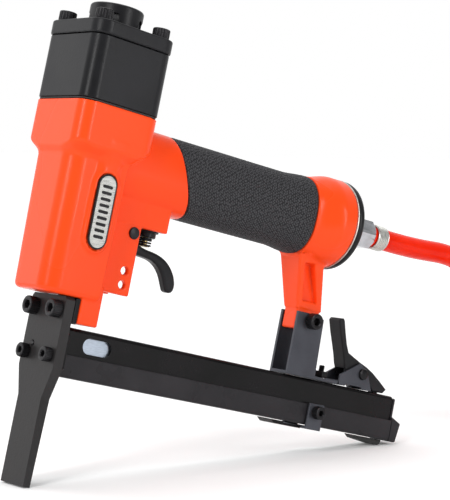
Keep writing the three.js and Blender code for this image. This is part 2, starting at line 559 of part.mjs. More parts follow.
// ---------------------------------------------------------------- trigger and its valve
function triggerParts() {
  const arm = [
    [33.5, 124], [42, 118.6], [50, 118.3], [56, 116.6], [60.5, 112.4], [64, 106], [66.2, 104.2],
    [68.6, 104.5], [70, 107], [69.4, 110.5], [66.4, 115.2], [62, 119.2], [55, 121.8], [46, 123.2],
    [40, 126.5], [37, 130],
  ];
  const hub = rod('y', 4.1, -TRIGGER.half, TRIGGER.half, [TRIGGER.x, TRIGGER.z], 12);
  const bore = rod('y', 2.1, -20, 20, [TRIGGER.x, TRIGGER.z], 12);
  place('trigger', cut(join(profile(arm, -TRIGGER.half, TRIGGER.half), hub), bore), MATERIAL.black);
  const pin = join(
    rod('y', 1.8, -CHEEK.half - 0.5, CHEEK.half + 0.5, [TRIGGER.x, TRIGGER.z], 12),
    rod('y', 3, -CHEEK.half - 1.3, -CHEEK.half - GAP, [TRIGGER.x, TRIGGER.z], 12),
    rod('y', 2.6, CHEEK.half + GAP, CHEEK.half + 1.2, [TRIGGER.x, TRIGGER.z], 12),
  );
  place('trigger_pin', pin, MATERIAL.screw);

  const x = VALVE_BLOCK.valveX;
  place('trigger_valve_body', turned([
    [2, 128.3], [5, 128.3], [5, 131], [6.1, 131], [6.1, 145], [2, 145], [2, 128.3],
  ], x, 24), MATERIAL.brass);
  place('trigger_valve_seal', washer(6.1, 2.4, 145.3, 147.6, x), MATERIAL.rubber);
  place('trigger_valve_stem', turned([
    [0, 123.7], [2.1, 123.7], [2.1, 124.9], [1.5, 124.9], [1.5, 141], [0, 141],
  ], x, 16), MATERIAL.brass);
  place('trigger_spring', spring('z', 3.2, 0.45, 123.9, 128, [x, 0], 3), MATERIAL.spring);
}

// ---------------------------------------------------------------- grip and air inlet
function gripParts() {
  const outer = () => [HANDLE.halfY, HANDLE.halfZ];
  const inner = () => [HANDLE.halfY - SLEEVE.wall + GAP, HANDLE.halfZ - SLEEVE.wall + GAP];
  const [top, bottom] = neckLine();
  const front = profile([
    [10, top[1]], [top[0] + GAP, top[1]], [bottom[0] + GAP, bottom[1]], [10, bottom[1]],
  ], -WIDE, WIDE);
  const sleeve = cut(handleRod(30, HANDLE.sleeveX1, outer), handleRod(20, 150, inner), front);
  place('grip_sleeve', sleeve, MATERIAL.grip);

  const ring = (x0, x1, radius) => rod('x', radius, x0, x1, [0, HANDLE.z], 28);
  const x = HANDLE.x1 + GAP;
  const sealHole = rod('x', 12, x - 5, x + 5, [0, HANDLE.z], 16);
  place('end_cap_seal', cut(ring(x, x + 0.8, HANDLE.endRadius + 0.1), sealHole), MATERIAL.alloy);
  const inlet = rod('x', 6.9, x, x + 20, [0, HANDLE.z], 16);
  const cap = warp(ring(x + 1.1, x + 5.6, 1), (p) => {
    const radius = p.x > x + 3 ? HANDLE.endRadius - 1.2 : HANDLE.endRadius;
    p.y *= radius;
    p.z = HANDLE.z + (p.z - HANDLE.z) * radius;
  });
  place('handle_end_cap', cut(cap, inlet), MATERIAL.black);

  const hexEnd = HOSE.startX - GAP;
  const fitting = join(
    rod('x', 6.6, x - 3, 182, [0, HANDLE.z], 16),
    rod('x', 8.6, 180.5, hexEnd, [0, HANDLE.z], 6),
    rod('x', 9, x + 5.9, x + 7.9, [0, HANDLE.z], 16),
  );
  const airHole = rod('x', 3.6, x - 5, hexEnd - 2, [0, HANDLE.z], 16);
  place('inlet_fitting', cut(fitting, airHole), MATERIAL.chrome);
}

function badge() {
  const outline = pill(BADGE.x, BADGE.z, BADGE.width, BADGE.length);
  place('badge_plate', slab(outline, BADGE.y, BADGE.padY - GAP), MATERIAL.alloy);
}

// ---------------------------------------------------------------- air hose, in the outer frame
function toOuter(x, y, z) {
  tool.updateMatrix();
  return new THREE.Vector3(x, y, z).applyMatrix4(tool.matrix);
}

function hoseParts() {
  const ferrule = cut(
    rod('x', HOSE.radius + 1, 195.8, 203.6, [0, HANDLE.z], 16),
    rod('x', HOSE.radius + 0.35, 190, 210, [0, HANDLE.z], 16),
  );
  place('hose_ferrule', ferrule, MATERIAL.alloy);

  // The hose leaves along the handle, rises a little, bends over and comes down onto the hank.
  const top = HANK.lift + (HANK.layers - 0.5) * HANK.pitch;
  const rise = (x) => HANDLE.z + 0.0015 * Math.max(x - 213, 0) ** 2;
  const straight = [HOSE.startX, 203, 213, 223, 233, 243, 250].map((x) => toOuter(x, 0, rise(x)));
  const bend = [
    [169.5, 101], [181, 94.5], [191, 84.6], [203, 69], [214.8, 53.9], [224, 44.6], [235, 37.4],
    [246.5, 33], [254, top + 0.1], [HANK.startX, top],
  ].map(([x, z]) => new THREE.Vector3(x, 0, z));
  const path = new THREE.CatmullRomCurve3([...straight, ...bend], false, 'centripetal');
  place('hose_run', tube(path, HOSE.radius, HOSE.sides, 12), MATERIAL.hose, model);

  // The stored length is a hank of three layers: two straight sides joined by round folds.
  const x0 = HANK.startX + GAP;
  const x1 = HANK.startX + HANK.straight;
  const middle = -HANK.fold;
  const stadium = (half) => pill((x0 + x1) / 2, middle, x1 - x0 + 2 * half, 2 * half);
  const height = [HANK.lift, HANK.lift + HANK.layers * HANK.pitch];
  const hank = cut(
    raised(stadium(HANK.fold + HOSE.radius), ...height, 1, 7),
    raised(stadium(HANK.fold - HOSE.radius), height[0] - 5, height[1] + 5, 1, 6),
    block(x0 - 60, x0 + 1, 2 * middle - 9, middle - 18, 0, 2 * PLUG.radius + 2 * GAP),
    block(x0 - 60, x0, middle + 6, 10, height[0] + 2 * HANK.pitch - 2 * GAP, height[1] + 5),
  );
  place('hose_hank', hank, MATERIAL.hose, model);

  // Quick plug on the free end, lying on the floor beside the hank's near fold.
  const endX = x0 + 1 - GAP;
  const endAt = [2 * middle, PLUG.radius + 0.1];
  const plug = join(
    rod('x', PLUG.radius, endX - 14, endX, endAt, 20),
    rod('x', 6.4, endX - 22, endX - 13, endAt, 6),
    rod('x', 4.6, endX - PLUG.length, endX - 21, endAt, 20),
    rod('x', 5.8, endX - 38, endX - 33, endAt, 20),
  );
  const airHole = rod('x', 2.6, endX - PLUG.length - 8, endX - 18, endAt, 12);
  place('hose_plug', cut(plug, airHole), MATERIAL.brass, model);

  const tieX = (x0 + x1) / 2;
  const tieOutline = (grow) => roundedRect(2 * middle, (height[0] + height[1]) / 2,
    HOSE.radius + grow, (height[1] - height[0]) / 2 + grow, grow);
  const tie = (grow, length) => {
    const band = raised(tieOutline(grow), -length / 2, length / 2);
    return band.rotateX(Math.PI / 2).rotateZ(Math.PI / 2).translate(tieX, 0, 0);
  };
  place('hose_tie', cut(tie(HANK.lift - 0.1, 16), tie(GAP, 30)), MATERIAL.rubber, model);
}

place('body_casting', bodyCasting(), MATERIAL.red);
headParts();
driveParts();
noseParts();
magazineParts();
bracketParts();
latchParts();
triggerParts();
gripParts();
badge();
hoseParts();

export default model;
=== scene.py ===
"""Looks of a pneumatic long-nose staple gun with its air hose.

The tool stands on its nose tip and rear foot. Everything on the tool is shaped in millimetres in the
tool's own frame (x from nose to rear, y across, z along the driving axis) and then leaned back by TOOL.
"""
import json
import math

import bmesh
import bpy
import numpy as np
from mathutils import Matrix, Vector


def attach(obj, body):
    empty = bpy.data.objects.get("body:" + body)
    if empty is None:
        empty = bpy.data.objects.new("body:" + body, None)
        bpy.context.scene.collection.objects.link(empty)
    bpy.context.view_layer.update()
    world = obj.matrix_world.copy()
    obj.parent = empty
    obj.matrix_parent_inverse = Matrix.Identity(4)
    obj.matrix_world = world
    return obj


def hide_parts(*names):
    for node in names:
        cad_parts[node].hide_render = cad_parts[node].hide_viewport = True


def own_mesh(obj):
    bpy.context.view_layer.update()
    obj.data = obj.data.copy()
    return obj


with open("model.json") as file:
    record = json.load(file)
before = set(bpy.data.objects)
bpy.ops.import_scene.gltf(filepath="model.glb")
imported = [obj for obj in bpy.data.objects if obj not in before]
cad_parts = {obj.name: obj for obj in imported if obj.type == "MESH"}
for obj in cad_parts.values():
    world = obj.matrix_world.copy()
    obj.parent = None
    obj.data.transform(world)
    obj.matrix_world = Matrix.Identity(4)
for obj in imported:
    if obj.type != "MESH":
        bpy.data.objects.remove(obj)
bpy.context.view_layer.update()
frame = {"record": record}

MM = 0.001

# ------------------------------------------------------------------ the tool's own frame
FOOT_X, FOOT_Z, TIP_THICK = 224.5, 49.7, 3.8
LEAN = math.atan2(FOOT_Z, FOOT_X - TIP_THICK)
CENTRE_X = 122.3
TOOL = (
    Matrix.Translation((-CENTRE_X * MM, 0, TIP_THICK * math.sin(LEAN) * MM))
    @ Matrix.Rotation(LEAN, 4, "Y")
    @ Matrix.Scale(MM, 4)
)
OUTER = Matrix.Scale(MM, 4)

# Driving dimensions, the same as the part's own.
DRIVE_X = 2.25
HEAD_X, HEAD_HALF, HEAD_CORNER = 5.5, 22.6, 7.0
HANDLE_Z, HANDLE_HALF_Y, HANDLE_HALF_Z = 160.0, 15.5, 19.4
HANDLE_END, HANDLE_RADIUS, SLEEVE_END = 163.0, 24.0, 141.0
HOSE_RADIUS, HOSE_START = 5.8, 193.4
HANK_X, HANK_STRAIGHT, HANK_FOLD, HANK_PITCH, HANK_LIFT, HANK_LAYERS = 262.0, 96.0, 36.0, 12.0, 1.5, 3
GAP = 0.3


# ------------------------------------------------------------------ camera, light and floor
def add_camera():
    heading, down, roll = math.radians(38.5), math.radians(3.1), math.radians(1.12)
    aim = Vector((0.0030, 0, 0.1084))
    forward = Vector((
        math.sin(heading) * math.cos(down), math.cos(heading) * math.cos(down), -math.sin(down),
    ))
    camera = bpy.data.objects.new("camera", bpy.data.cameras.new("camera"))
    camera.data.lens = 131.6
    camera.data.sensor_fit = "VERTICAL"
    camera.data.sensor_height = 36
    camera.data.sensor_width = 36
    turn = forward.to_track_quat("-Z", "Y").to_matrix().to_4x4() @ Matrix.Rotation(roll, 4, "Z")
    camera.matrix_world = Matrix.Translation(aim - forward * 0.9302) @ turn
    bpy.context.scene.collection.objects.link(camera)
    bpy.context.scene.camera = camera


def area_light(name, place, aim, size, power):
    light = bpy.data.lights.new(name, "AREA")
    light.shape = "RECTANGLE"
    light.size, light.size_y = size
    light.energy = power
    obj = bpy.data.objects.new(name, light)
    obj.location = place
    obj.rotation_euler = (Vector(aim) - Vector(place)).to_track_quat("-Z", "Y").to_euler()
    bpy.context.scene.collection.objects.link(obj)


def add_studio():
    bpy.ops.mesh.primitive_plane_add(size=80)
    floor = bpy.context.object
    floor.name = "floor"
    paper = bpy.data.materials.new("paper")
    paper.use_nodes = True
    shader = paper.node_tree.nodes["Principled BSDF"]
    shader.inputs["Base Color"].default_value = (0.88, 0.88, 0.88, 1)
    shader.inputs["Roughness"].default_value = 0.9
    shader.inputs["Emission Color"].default_value = (1, 1, 1, 1)
    # The paper glows a little, and more so far away, where the lamps don't reach.
    place = paper.node_tree.nodes.new("ShaderNodeTexCoord")
    far = paper.node_tree.nodes.new("ShaderNodeVectorMath")
    far.operation = "LENGTH"
    paper.node_tree.links.new(place.outputs["Object"], far.inputs[0])
    glow = paper.node_tree.nodes.new("ShaderNodeMapRange")
    glow.inputs["From Min"].default_value, glow.inputs["From Max"].default_value = 0.3, 1.6
    glow.inputs["To Min"].default_value, glow.inputs["To Max"].default_value = 0.07, 0.45
    paper.node_tree.links.new(far.outputs["Value"], glow.inputs["Value"])
    paper.node_tree.links.new(glow.outputs["Result"], shader.inputs["Emission Strength"])
    floor.data.materials.append(paper)

    world = bpy.data.worlds.new("studio")
    bpy.context.scene.world = world
    world.use_nodes = True
    nodes, links = world.node_tree.nodes, world.node_tree.links
    # White behind the tool, greyer on the side that its near faces look at.
    toward = nodes.new("ShaderNodeTexCoord")
    behind = nodes.new("ShaderNodeVectorMath")
    behind.operation = "DOT_PRODUCT"
    behind.inputs[1].default_value = (0.1, 0.995, 0)
    links.new(toward.outputs["Generated"], behind.inputs[0])
    grade = nodes.new("ShaderNodeMapRange")
    grade.inputs["From Min"].default_value, grade.inputs["From Max"].default_value = -0.5, 0.55
    grade.inputs["To Min"].default_value, grade.inputs["To Max"].default_value = 0.3, 1.0
    links.new(behind.outputs["Value"], grade.inputs["Value"])
    links.new(grade.outputs["Result"], nodes["Background"].inputs["Strength"])
    nodes["Background"].inputs["Color"].default_value = (1, 1, 1, 1)
    middle = (0, 0, 0.12)
    area_light("key", (-1.3, -0.5, 0.9), middle, (0.4, 1.0), 13)
    area_light("side", (0.5, -1.4, 0.5), middle, (0.3, 0.9), 9)
    area_light("top", (0.1, 0.2, 1.3), middle, (1.0, 0.6), 6)
    area_light("rim", (-0.70, 0.94, 0.38), middle, (0.5, 0.9), 1.8)
    bpy.context.scene.view_settings.view_transform = "Standard"


# ------------------------------------------------------------------ materials
class Nodes:
    """Short way to build one material: adds nodes and links them to its Principled shader."""

    def __init__(self, name, **settings):
        self.material = bpy.data.materials.new(name)
        self.material.use_nodes = True
        self.tree = self.material.node_tree
        self.shader = self.tree.nodes["Principled BSDF"]
        for socket, value in settings.items():
            self.shader.inputs[socket.replace("_", " ")].default_value = value

    def add(self, kind, **settings):
        node = self.tree.nodes.new(kind)
        for key, value in settings.items():
            if hasattr(node, key):
                setattr(node, key, value)
            else:
                node.inputs[key.replace("_", " ")].default_value = value
        return node

    def link(self, a, b):
        self.tree.links.new(a, b)

    def place(self, scale=(1, 1, 1)):
        coordinates = self.add("ShaderNodeTexCoord")
        mapping = self.add("ShaderNodeMapping")
        mapping.inputs["Scale"].default_value = scale
        self.link(coordinates.outputs["Object"], mapping.inputs["Vector"])
        return mapping.outputs["Vector"]

    def noise(self, scale, detail=3.0, roughness=0.5, stretch=(1, 1, 1)):
        node = self.add("ShaderNodeTexNoise", Scale=scale, Detail=detail, Roughness=roughness)
        self.link(self.place(stretch), node.inputs["Vector"])
        return node.outputs["Fac"]

    def ramp(self, value, low, high, at=(0.35, 0.65)):
        node = self.add("ShaderNodeMapRange")
        node.inputs["From Min"].default_value, node.inputs["From Max"].default_value = at
        node.inputs["To Min"].default_value, node.inputs["To Max"].default_value = low, high
        self.link(value, node.inputs["Value"])
        return node.outputs["Result"]

    def colours(self, value, low, high, at=(0.35, 0.65)):
        node = self.add("ShaderNodeMix", data_type="RGBA")
        node.inputs[6].default_value = (*low, 1)
        node.inputs[7].default_value = (*high, 1)
        self.link(self.ramp(value, 0, 1, at), node.inputs[0])
        return node.outputs[2]

    def bump(self, value, strength, distance):
        node = self.add("ShaderNodeBump", Strength=strength, Distance=distance)
        self.link(value, node.inputs["Height"])
        return node.outputs["Normal"]

    def finish(self, colour, roughness, normal=None):
        self.link(colour, self.shader.inputs["Base Color"])
        self.link(roughness, self.shader.inputs["Roughness"])
        if normal is not None:
            self.link(normal, self.shader.inputs["Normal"])
        return self.material


def enamel(name, low, high):
    """Gloss enamel on a casting: fine orange peel and a slight change of tone."""
    n = Nodes(name, Specular_IOR_Level=0.16, Coat_Weight=0.05, Coat_Roughness=0.08)
    tone = n.noise(9, 2)
    peel = n.noise(520, 2)
    return n.finish(n.colours(tone, low, high), n.ramp(tone, 0.2, 0.3), n.bump(peel, 0.05, 0.0003))


def coating(name, low, high, rough=0.42, grain=900, depth=0.12, metal=0.0):
    """Satin coating or dark finish with a fine grain and faint cloudy handling marks."""
    n = Nodes(name, Metallic=metal, Specular_IOR_Level=0.15)
    cloud = n.noise(28, 4, 0.6)
    fine = n.noise(grain, 2)
    marks = n.ramp(cloud, rough - 0.05, rough + 0.08)
    return n.finish(n.colours(cloud, low, high), marks, n.bump(fine, depth, 0.0003))


def machined(name, low, high, rough=0.3, stretch=(1, 1, 1), scale=300, depth=0.1):
    """Bare or plated metal with brushed streaks along one direction."""
    n = Nodes(name, Metallic=1.0)
    streak = n.noise(scale, 4, 0.6, stretch)
    return n.finish(n.colours(streak, low, high), n.ramp(streak, rough - 0.08, rough + 0.1),
                    n.bump(streak, depth, 0.0002))


def rubber(name, low, high):
    n = Nodes(name)
    speck = n.noise(700, 3)
    return n.finish(n.colours(speck, low, high), n.ramp(speck, 0.6, 0.85), n.bump(speck, 0.25, 0.0003))


def pebbled(name):
    """Moulded grip rubber: slightly shinier tops over dull pits, with painted highlights on the tops and
    painted shade in the pits.
    """
    n = Nodes(name, Specular_IOR_Level=0.35)
    speck = n.noise(1800, 3)
    height = n.add("ShaderNodeAttribute", attribute_name="pebble").outputs["Fac"]
    # Pebble height sets the colour: painted shade darkens the pits and a painted highlight lightens the tops.
    colour = n.colours(height, (0.008, 0.008, 0.009), (0.040, 0.039, 0.044), (0.1, 0.95))
    return n.finish(colour, n.ramp(height, 0.85, 0.42, (0.3, 1.0)), n.bump(speck, 0.2, 0.0002))


def polyurethane(name):
    """Glossy see-through hose: a saturated body colour with light passing through its wall."""
    n = Nodes(name, Subsurface_Weight=0.15, Subsurface_Scale=0.003, Specular_IOR_Level=0.12)
    n.shader.inputs["Subsurface Radius"].default_value = (1.0, 0.25, 0.08)
    tone = n.noise(60, 2)
    return n.finish(n.colours(tone, (0.70, 0.012, 0.001), (0.78, 0.020, 0.002)), n.ramp(tone, 0.16, 0.26))


M = {
    "red_enamel": enamel("red_enamel", (0.84, 0.053, 0.005), (0.88, 0.064, 0.008)),
    "black_coating": coating("black_coating", (0.009, 0.009, 0.010), (0.014, 0.014, 0.016), 0.34),
    "slide_black": coating("slide_black", (0.015, 0.014, 0.016), (0.024, 0.022, 0.025), 0.28),
    "magazine_black": coating("magazine_black", (0.002, 0.002, 0.002), (0.005, 0.004, 0.005), 0.22),
    "nose_steel": coating("nose_steel", (0.020, 0.019, 0.019), (0.032, 0.030, 0.031), 0.42, 700, 0.2, 0.2),
    "screw_steel": coating("screw_steel", (0.012, 0.012, 0.013), (0.022, 0.021, 0.023), 0.3, 800, 0.15, 0.4),
    "blued_steel": coating("blued_steel", (0.050, 0.052, 0.062), (0.070, 0.073, 0.086), 0.36, 700, 0.1, 0.4),
    "grip_rubber": pebbled("grip_rubber"),
    "seal_rubber": rubber("seal_rubber", (0.012, 0.012, 0.012), (0.025, 0.025, 0.025)),
    "chrome_plate": machined(
        "chrome_plate", (0.40, 0.41, 0.43), (0.56, 0.57, 0.60), 0.16, (1, 1, 1), 90, 0.03,
    ),
    "bright_alloy": machined("bright_alloy", (0.44, 0.44, 0.41), (0.60, 0.60, 0.57), 0.36, (40, 1, 1), 200),
    "badge_metal": machined("badge_metal", (0.24, 0.24, 0.23), (0.42, 0.42, 0.40), 0.3, (1, 1, 30), 160),
    "staple_wire": machined("staple_wire", (0.28, 0.32, 0.38), (0.44, 0.49, 0.56), 0.38, (1, 1, 12), 400),
    "spring_steel": machined("spring_steel", (0.35, 0.35, 0.36), (0.55, 0.55, 0.56), 0.28),
    "valve_brass": machined("valve_brass", (0.52, 0.36, 0.14), (0.68, 0.50, 0.22), 0.28, (30, 1, 1), 200),
    "hose_orange": polyurethane("hose_orange"),
}


# ------------------------------------------------------------------ hose
def tool_point(x, y, z):
    return TOOL @ Vector((x, y, z))


def hose_points():
    """The route from the fitting to the floor, then the hank's turns worked out one by one."""
    points = [
        tool_point(x, 0, HANDLE_Z + 0.0015 * max(x - 213, 0) ** 2)
        for x in (HOSE_START, 203, 213, 223, 233, 243, 250)
    ]
    top = HANK_LIFT + (HANK_LAYERS - 0.5) * HANK_PITCH
    bend = [
        (169.5, 101), (181, 94.5), (191, 84.6), (203, 69), (214.8, 53.9), (224, 44.6), (235, 37.4),
        (246.5, 33), (254, top + 0.1), (HANK_X, top),
    ]
    points += [Vector((x, 0, z)) * MM for x, z in bend]

    near, far = HANK_X + GAP, HANK_X + HANK_STRAIGHT
    for layer in range(HANK_LAYERS):
        z = top - layer * HANK_PITCH
        last = layer == HANK_LAYERS - 1
        for i in range(1, 5):
            points.append(Vector((near + (far - near) * i / 5, 0, z)) * MM)
        for i in range(13):
            angle = math.pi * i / 12
            points.append(Vector((
                far + HANK_FOLD * math.sin(angle), HANK_FOLD * (math.cos(angle) - 1), z)) * MM)
        for i in range(1, 5):
            points.append(Vector((far + (near - far) * i / 5, -2 * HANK_FOLD, z)) * MM)
        if last:
            points.append(Vector((near + 1, -2 * HANK_FOLD, z)) * MM)
            break
        for i in range(13):
            angle = math.pi * i / 12
            fall = min(max((i / 12 - 0.25) / 0.6, 0), 1)
            down = z - HANK_PITCH * smooth_step(fall)
            points.append(Vector((
                near - HANK_FOLD * math.sin(angle), -HANK_FOLD * (math.cos(angle) + 1), down)) * MM)
    return points


def add_hose():
    points = hose_points()
    data = bpy.data.curves.new("air_hose", "CURVE")
    data.dimensions = "3D"
    spline = data.splines.new("NURBS")
    spline.points.add(len(points) - 1)
    for control, point in zip(spline.points, points):
        control.co = (*point, 1)
    spline.order_u = 4
    spline.use_endpoint_u = True
    spline.resolution_u = 4
    data.bevel_depth = HOSE_RADIUS * MM
    data.bevel_resolution = 6
    data.use_fill_caps = True
    data.materials.append(M["hose_orange"])
    hose = bpy.data.objects.new("air_hose", data)
    bpy.context.scene.collection.objects.link(hose)
    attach(hose, "housing")
    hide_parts("hose_run", "hose_hank")


# ------------------------------------------------------------------ making pieces
def piece(name, mesh, body, slot, nodes=(), material=None, place=TOOL, normals=None):
    """Puts a millimetre mesh in the model: moved to its place, dressed, riding and standing for its nodes."""
    mesh.transform(place)
    mesh.materials.clear()
    mesh.materials.append(M[material or slot])
    mesh.shade_smooth()
    if normals is not None:
        turn = np.array(place.to_3x3().normalized())
        mesh.normals_split_custom_set_from_vertices([tuple(n) for n in normals @ turn.T])
    obj = bpy.data.objects.new(name, mesh)
    bpy.context.scene.collection.objects.link(obj)
    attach(obj, body)
    if nodes:
        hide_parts(*nodes)
    return obj


def mesh_of(name, vertices, faces):
    mesh = bpy.data.meshes.new(name)
    mesh.from_pydata([tuple(map(float, v)) for v in vertices], [], [tuple(map(int, f)) for f in faces])
    mesh.update()
    return mesh


def soften(obj, width, segments=2, angle=35):
    """Rounds an object's edges and keeps its flat faces flat to the eye."""
    bevel = obj.modifiers.new("round", "BEVEL")
    bevel.width = width * MM
    bevel.segments = segments
    bevel.limit_method = "ANGLE"
    bevel.angle_limit = math.radians(angle)
    bevel.use_clamp_overlap = True
    weigh = obj.modifiers.new("weigh", "WEIGHTED_NORMAL")
    weigh.keep_sharp = True


def refine(node, body, slot, width, material=None, segments=2):
    """A finer copy of a CAD node: flat faces made whole again, every edge rounded."""
    mesh = bpy.data.objects[node].data.copy()
    work = bmesh.new()
    work.from_mesh(mesh)
    bmesh.ops.remove_doubles(work, verts=work.verts, dist=1e-6)
    bmesh.ops.dissolve_limit(work, angle_limit=math.radians(1), verts=work.verts, edges=work.edges)
    bmesh.ops.recalc_face_normals(work, faces=work.faces)
    work.to_mesh(mesh)
    work.free()
    obj = piece(node + "_fine", mesh, body, slot, [node], material, Matrix.Identity(4))
    soften(obj, width, segments)


def axis_matrix(axis, side, at):
    """Turns a piece made about z so that it points along an axis, and moves it to its place."""
    direction = Vector({"x": (1, 0, 0), "y": (0, 1, 0), "z": (0, 0, 1)}[axis]) * side
    return Matrix.Translation(at) @ direction.to_track_quat("Z", "Y").to_matrix().to_4x4()


def loft(rings, ends="caps"):
    """Joins rings of equally many points into a skin; its ends get caps, or meet each other ("wrap")."""
    count, last = len(rings[0]), len(rings) - 1
    vertices = [p for ring in rings for p in ring]
    faces = []
    for k in range(last + 1 if ends == "wrap" else last):
        here, there = k * count, (k + 1) % len(rings) * count
        for i in range(count):
            j = (i + 1) % count
            faces.append((here + i, here + j, there + j, there + i))
    if ends == "caps":
        faces.append(tuple(reversed(range(count))))
        faces.append(tuple(range(last * count, (last + 1) * count)))
    return vertices, faces


def smooth_step(t):
    return t * t * (3 - 2 * t)


def circle(radius, z, sides, shape=None):
    ring = []
    for i in range(sides):
        angle = 2 * math.pi * i / sides
        r = shape(angle, radius) if shape else radius
        ring.append((r * math.cos(angle), r * math.sin(angle), z))
    return ring


def hexagon(angle, radius):
    """Radius of a hexagon of this corner radius, at an angle."""
    step = math.pi / 3
    return radius * math.cos(step / 2) / math.cos((angle % step) - step / 2)


def turned(name, profile, sides=48, ends="caps"):
    """A turned mesh about z from (radius, z) or (radius, z, shape) rings."""
    rings = [circle(p[0], p[1], sides, p[2] if len(p) > 2 else None) for p in profile]
    return mesh_of(name, *loft(rings, ends))


def crisp(obj, angle=32):
    """Keeps the sharp edges of a turned or lofted piece sharp."""
    obj.data.set_sharp_from_angle(angle=math.radians(angle))
    return obj


# Socket-head screws: head radius, head height, shank radius and corner radius of the socket.
M5 = (4.25, 5.0, 2.5, 2.3)
M4 = (3.5, 4.0, 2.0, 1.7)


def socket_screw(node, size, length, axis, side, at):
    """A socket-head screw: knurled head with a rounded rim, hexagonal socket, plain shank."""
    head, height, shank, key = size
    teeth = 26
    knurl = lambda angle, r: r - 0.11 * (1 + math.cos(angle * teeth))
    rim = 0.45
    profile = [
        (shank, -length + 0.5), (shank, -0.02), (head - 0.25, 0), (head, 0.25, knurl),
        (head, height - rim, knurl), (head - 0.14, height - rim * 0.35), (head - rim, height),
        (key + 0.35, height), (key, height - 0.3, hexagon), (key, height * 0.35, hexagon),
        (0.05, height * 0.3),
    ]
    mesh = turned(node, profile, teeth * 4)
    mesh.transform(axis_matrix(axis, side, at))
    crisp(piece(node + "_fine", mesh, "housing", "screw_steel", [node]), 28)


def headed_pin(node, radius, head, half, thick, at):
    """A pin across the tool with a domed head on the near side and a riveted end on the far side."""
    profile = [
        (0.2, -half - thick), (head * 0.6, -half - thick + 0.1), (head - 0.3, -half - thick + 0.35),
        (head, -half - thick + 0.8), (head, -half), (radius, -half), (radius, half), (radius + 0.6, half),
        (radius + 0.6, half + 0.5), (radius, half + 0.9), (0.2, half + 1.0),
    ]
    mesh = turned(node, profile, 36)
    mesh.transform(axis_matrix("y", 1, at))
    crisp(piece(node + "_fine", mesh, "housing", "screw_steel", [node]), 40)


def coil_spring(node, axis, at, radius, wire, low, high, turns, body,
                slot="spring_steel"):
    """Round wire wound about x or z, with closed turns at each end."""
    points = []
    per_turn = 20
    total = turns * per_turn
    for i in range(total + 1):
        angle = 2 * math.pi * i / per_turn
        t = min(max((i / per_turn - 0.75) / (turns - 1.5), 0), 1)
        along = low + wire + (high - low - 2 * wire) * t
        u, v = at[0] + radius * math.cos(angle), at[1] + radius * math.sin(angle)
        points.append(Vector((along, u, v) if axis == "x" else (u, v, along)))
    spring = crisp(piece(node + "_fine", sweep(node, points, wire, 8), body, slot, [node]), 60)
    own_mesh(spring)


def sweep(name, points, radius, sides):
    rings = []
    for i, p in enumerate(points):
        ahead = (points[min(i + 1, len(points) - 1)] - points[max(i - 1, 0)]).normalized()
        frame_axes = ahead.to_track_quat("Z", "Y").to_matrix()
        ring = []
        for k in range(sides):
            a = 2 * math.pi * k / sides
            ring.append(p + frame_axes @ Vector((radius * math.cos(a), radius * math.sin(a), 0)))
        rings.append(ring)
    return mesh_of(name, *loft(rings))


def rounded_square(cx, cy, half_x, half_y, r, steps=8):
    points = []
    for sx, sy, start in ((1, 1, 0), (-1, 1, 90), (-1, -1, 180), (1, -1, 270)):
        for i in range(steps + 1):
            a = math.radians(start + 90 * i / steps)
            x = cx + sx * (half_x - r) + r * math.cos(a)
            y = cy + sy * (half_y - r) + r * math.sin(a)
            points.append((x, y))
    return points


def prism(name, outline, low, high, plane="z"):
    """An outline drawn across an axis and raised along it from low to high."""
    to = {
        "x": lambda u, v, w: (w, u, v),
        "y": lambda u, v, w: (v, w, u),
        "z": lambda u, v, w: (u, v, w),
    }[plane]
    rings = [[to(u, v, w) for u, v in outline] for w in (low, high)]
    return mesh_of(name, *loft(rings))


# ------------------------------------------------------------------ solids from distance fields
def smooth_min(a, b, k):
    h = np.clip(0.5 + 0.5 * (b - a) / k, 0, 1)
    return b + (a - b) * h - k * h * (1 - h)


def smooth_max(a, b, k):
    return -smooth_min(-a, -b, k)


def box_2d(u, v, half_u, half_v, r):
    du, dv = np.abs(u) - half_u + r, np.abs(v) - half_v + r
    return np.minimum(np.maximum(du, dv), 0) + np.hypot(np.maximum(du, 0), np.maximum(dv, 0)) - r


def raise_2d(d, w, half, r):
    """Gives a flat shape thickness, with its rim rounded by r."""
    du, dw = d + r, np.abs(w) - half + r
    return np.minimum(np.maximum(du, dw), 0) + np.hypot(np.maximum(du, 0), np.maximum(dw, 0)) - r


def bar_field(x, y, z, x0, x1, half, z0, z1, r=0.8):
    flat = box_2d(x - (x0 + x1) / 2, z - (z0 + z1) / 2, (x1 - x0) / 2, (z1 - z0) / 2, r)
    return raise_2d(flat, y, half, r)


def outline_2d(u, v, points):
    """Signed distance to a closed outline."""
    best = np.full(u.shape, 1e6)
    inside = np.zeros(u.shape, bool)
    for (u0, v0), (u1, v1) in zip(points, points[1:] + points[:1]):
        eu, ev = u1 - u0, v1 - v0
        wu, wv = u - u0, v - v0
        t = np.clip((wu * eu + wv * ev) / (eu * eu + ev * ev), 0, 1)
        best = np.minimum(best, np.hypot(wu - eu * t, wv - ev * t))
        crosses = (v0 > v) != (v1 > v)
        if abs(ev) > 1e-9:
            inside ^= crosses & (wu < eu * wv / ev)
    return np.where(inside, -best, best)


def cylinder_field(u, v, w, radius, low, high, r=0.6):
    return raise_2d(np.hypot(u, v) - radius, w - (low + high) / 2, (high - low) / 2, r)


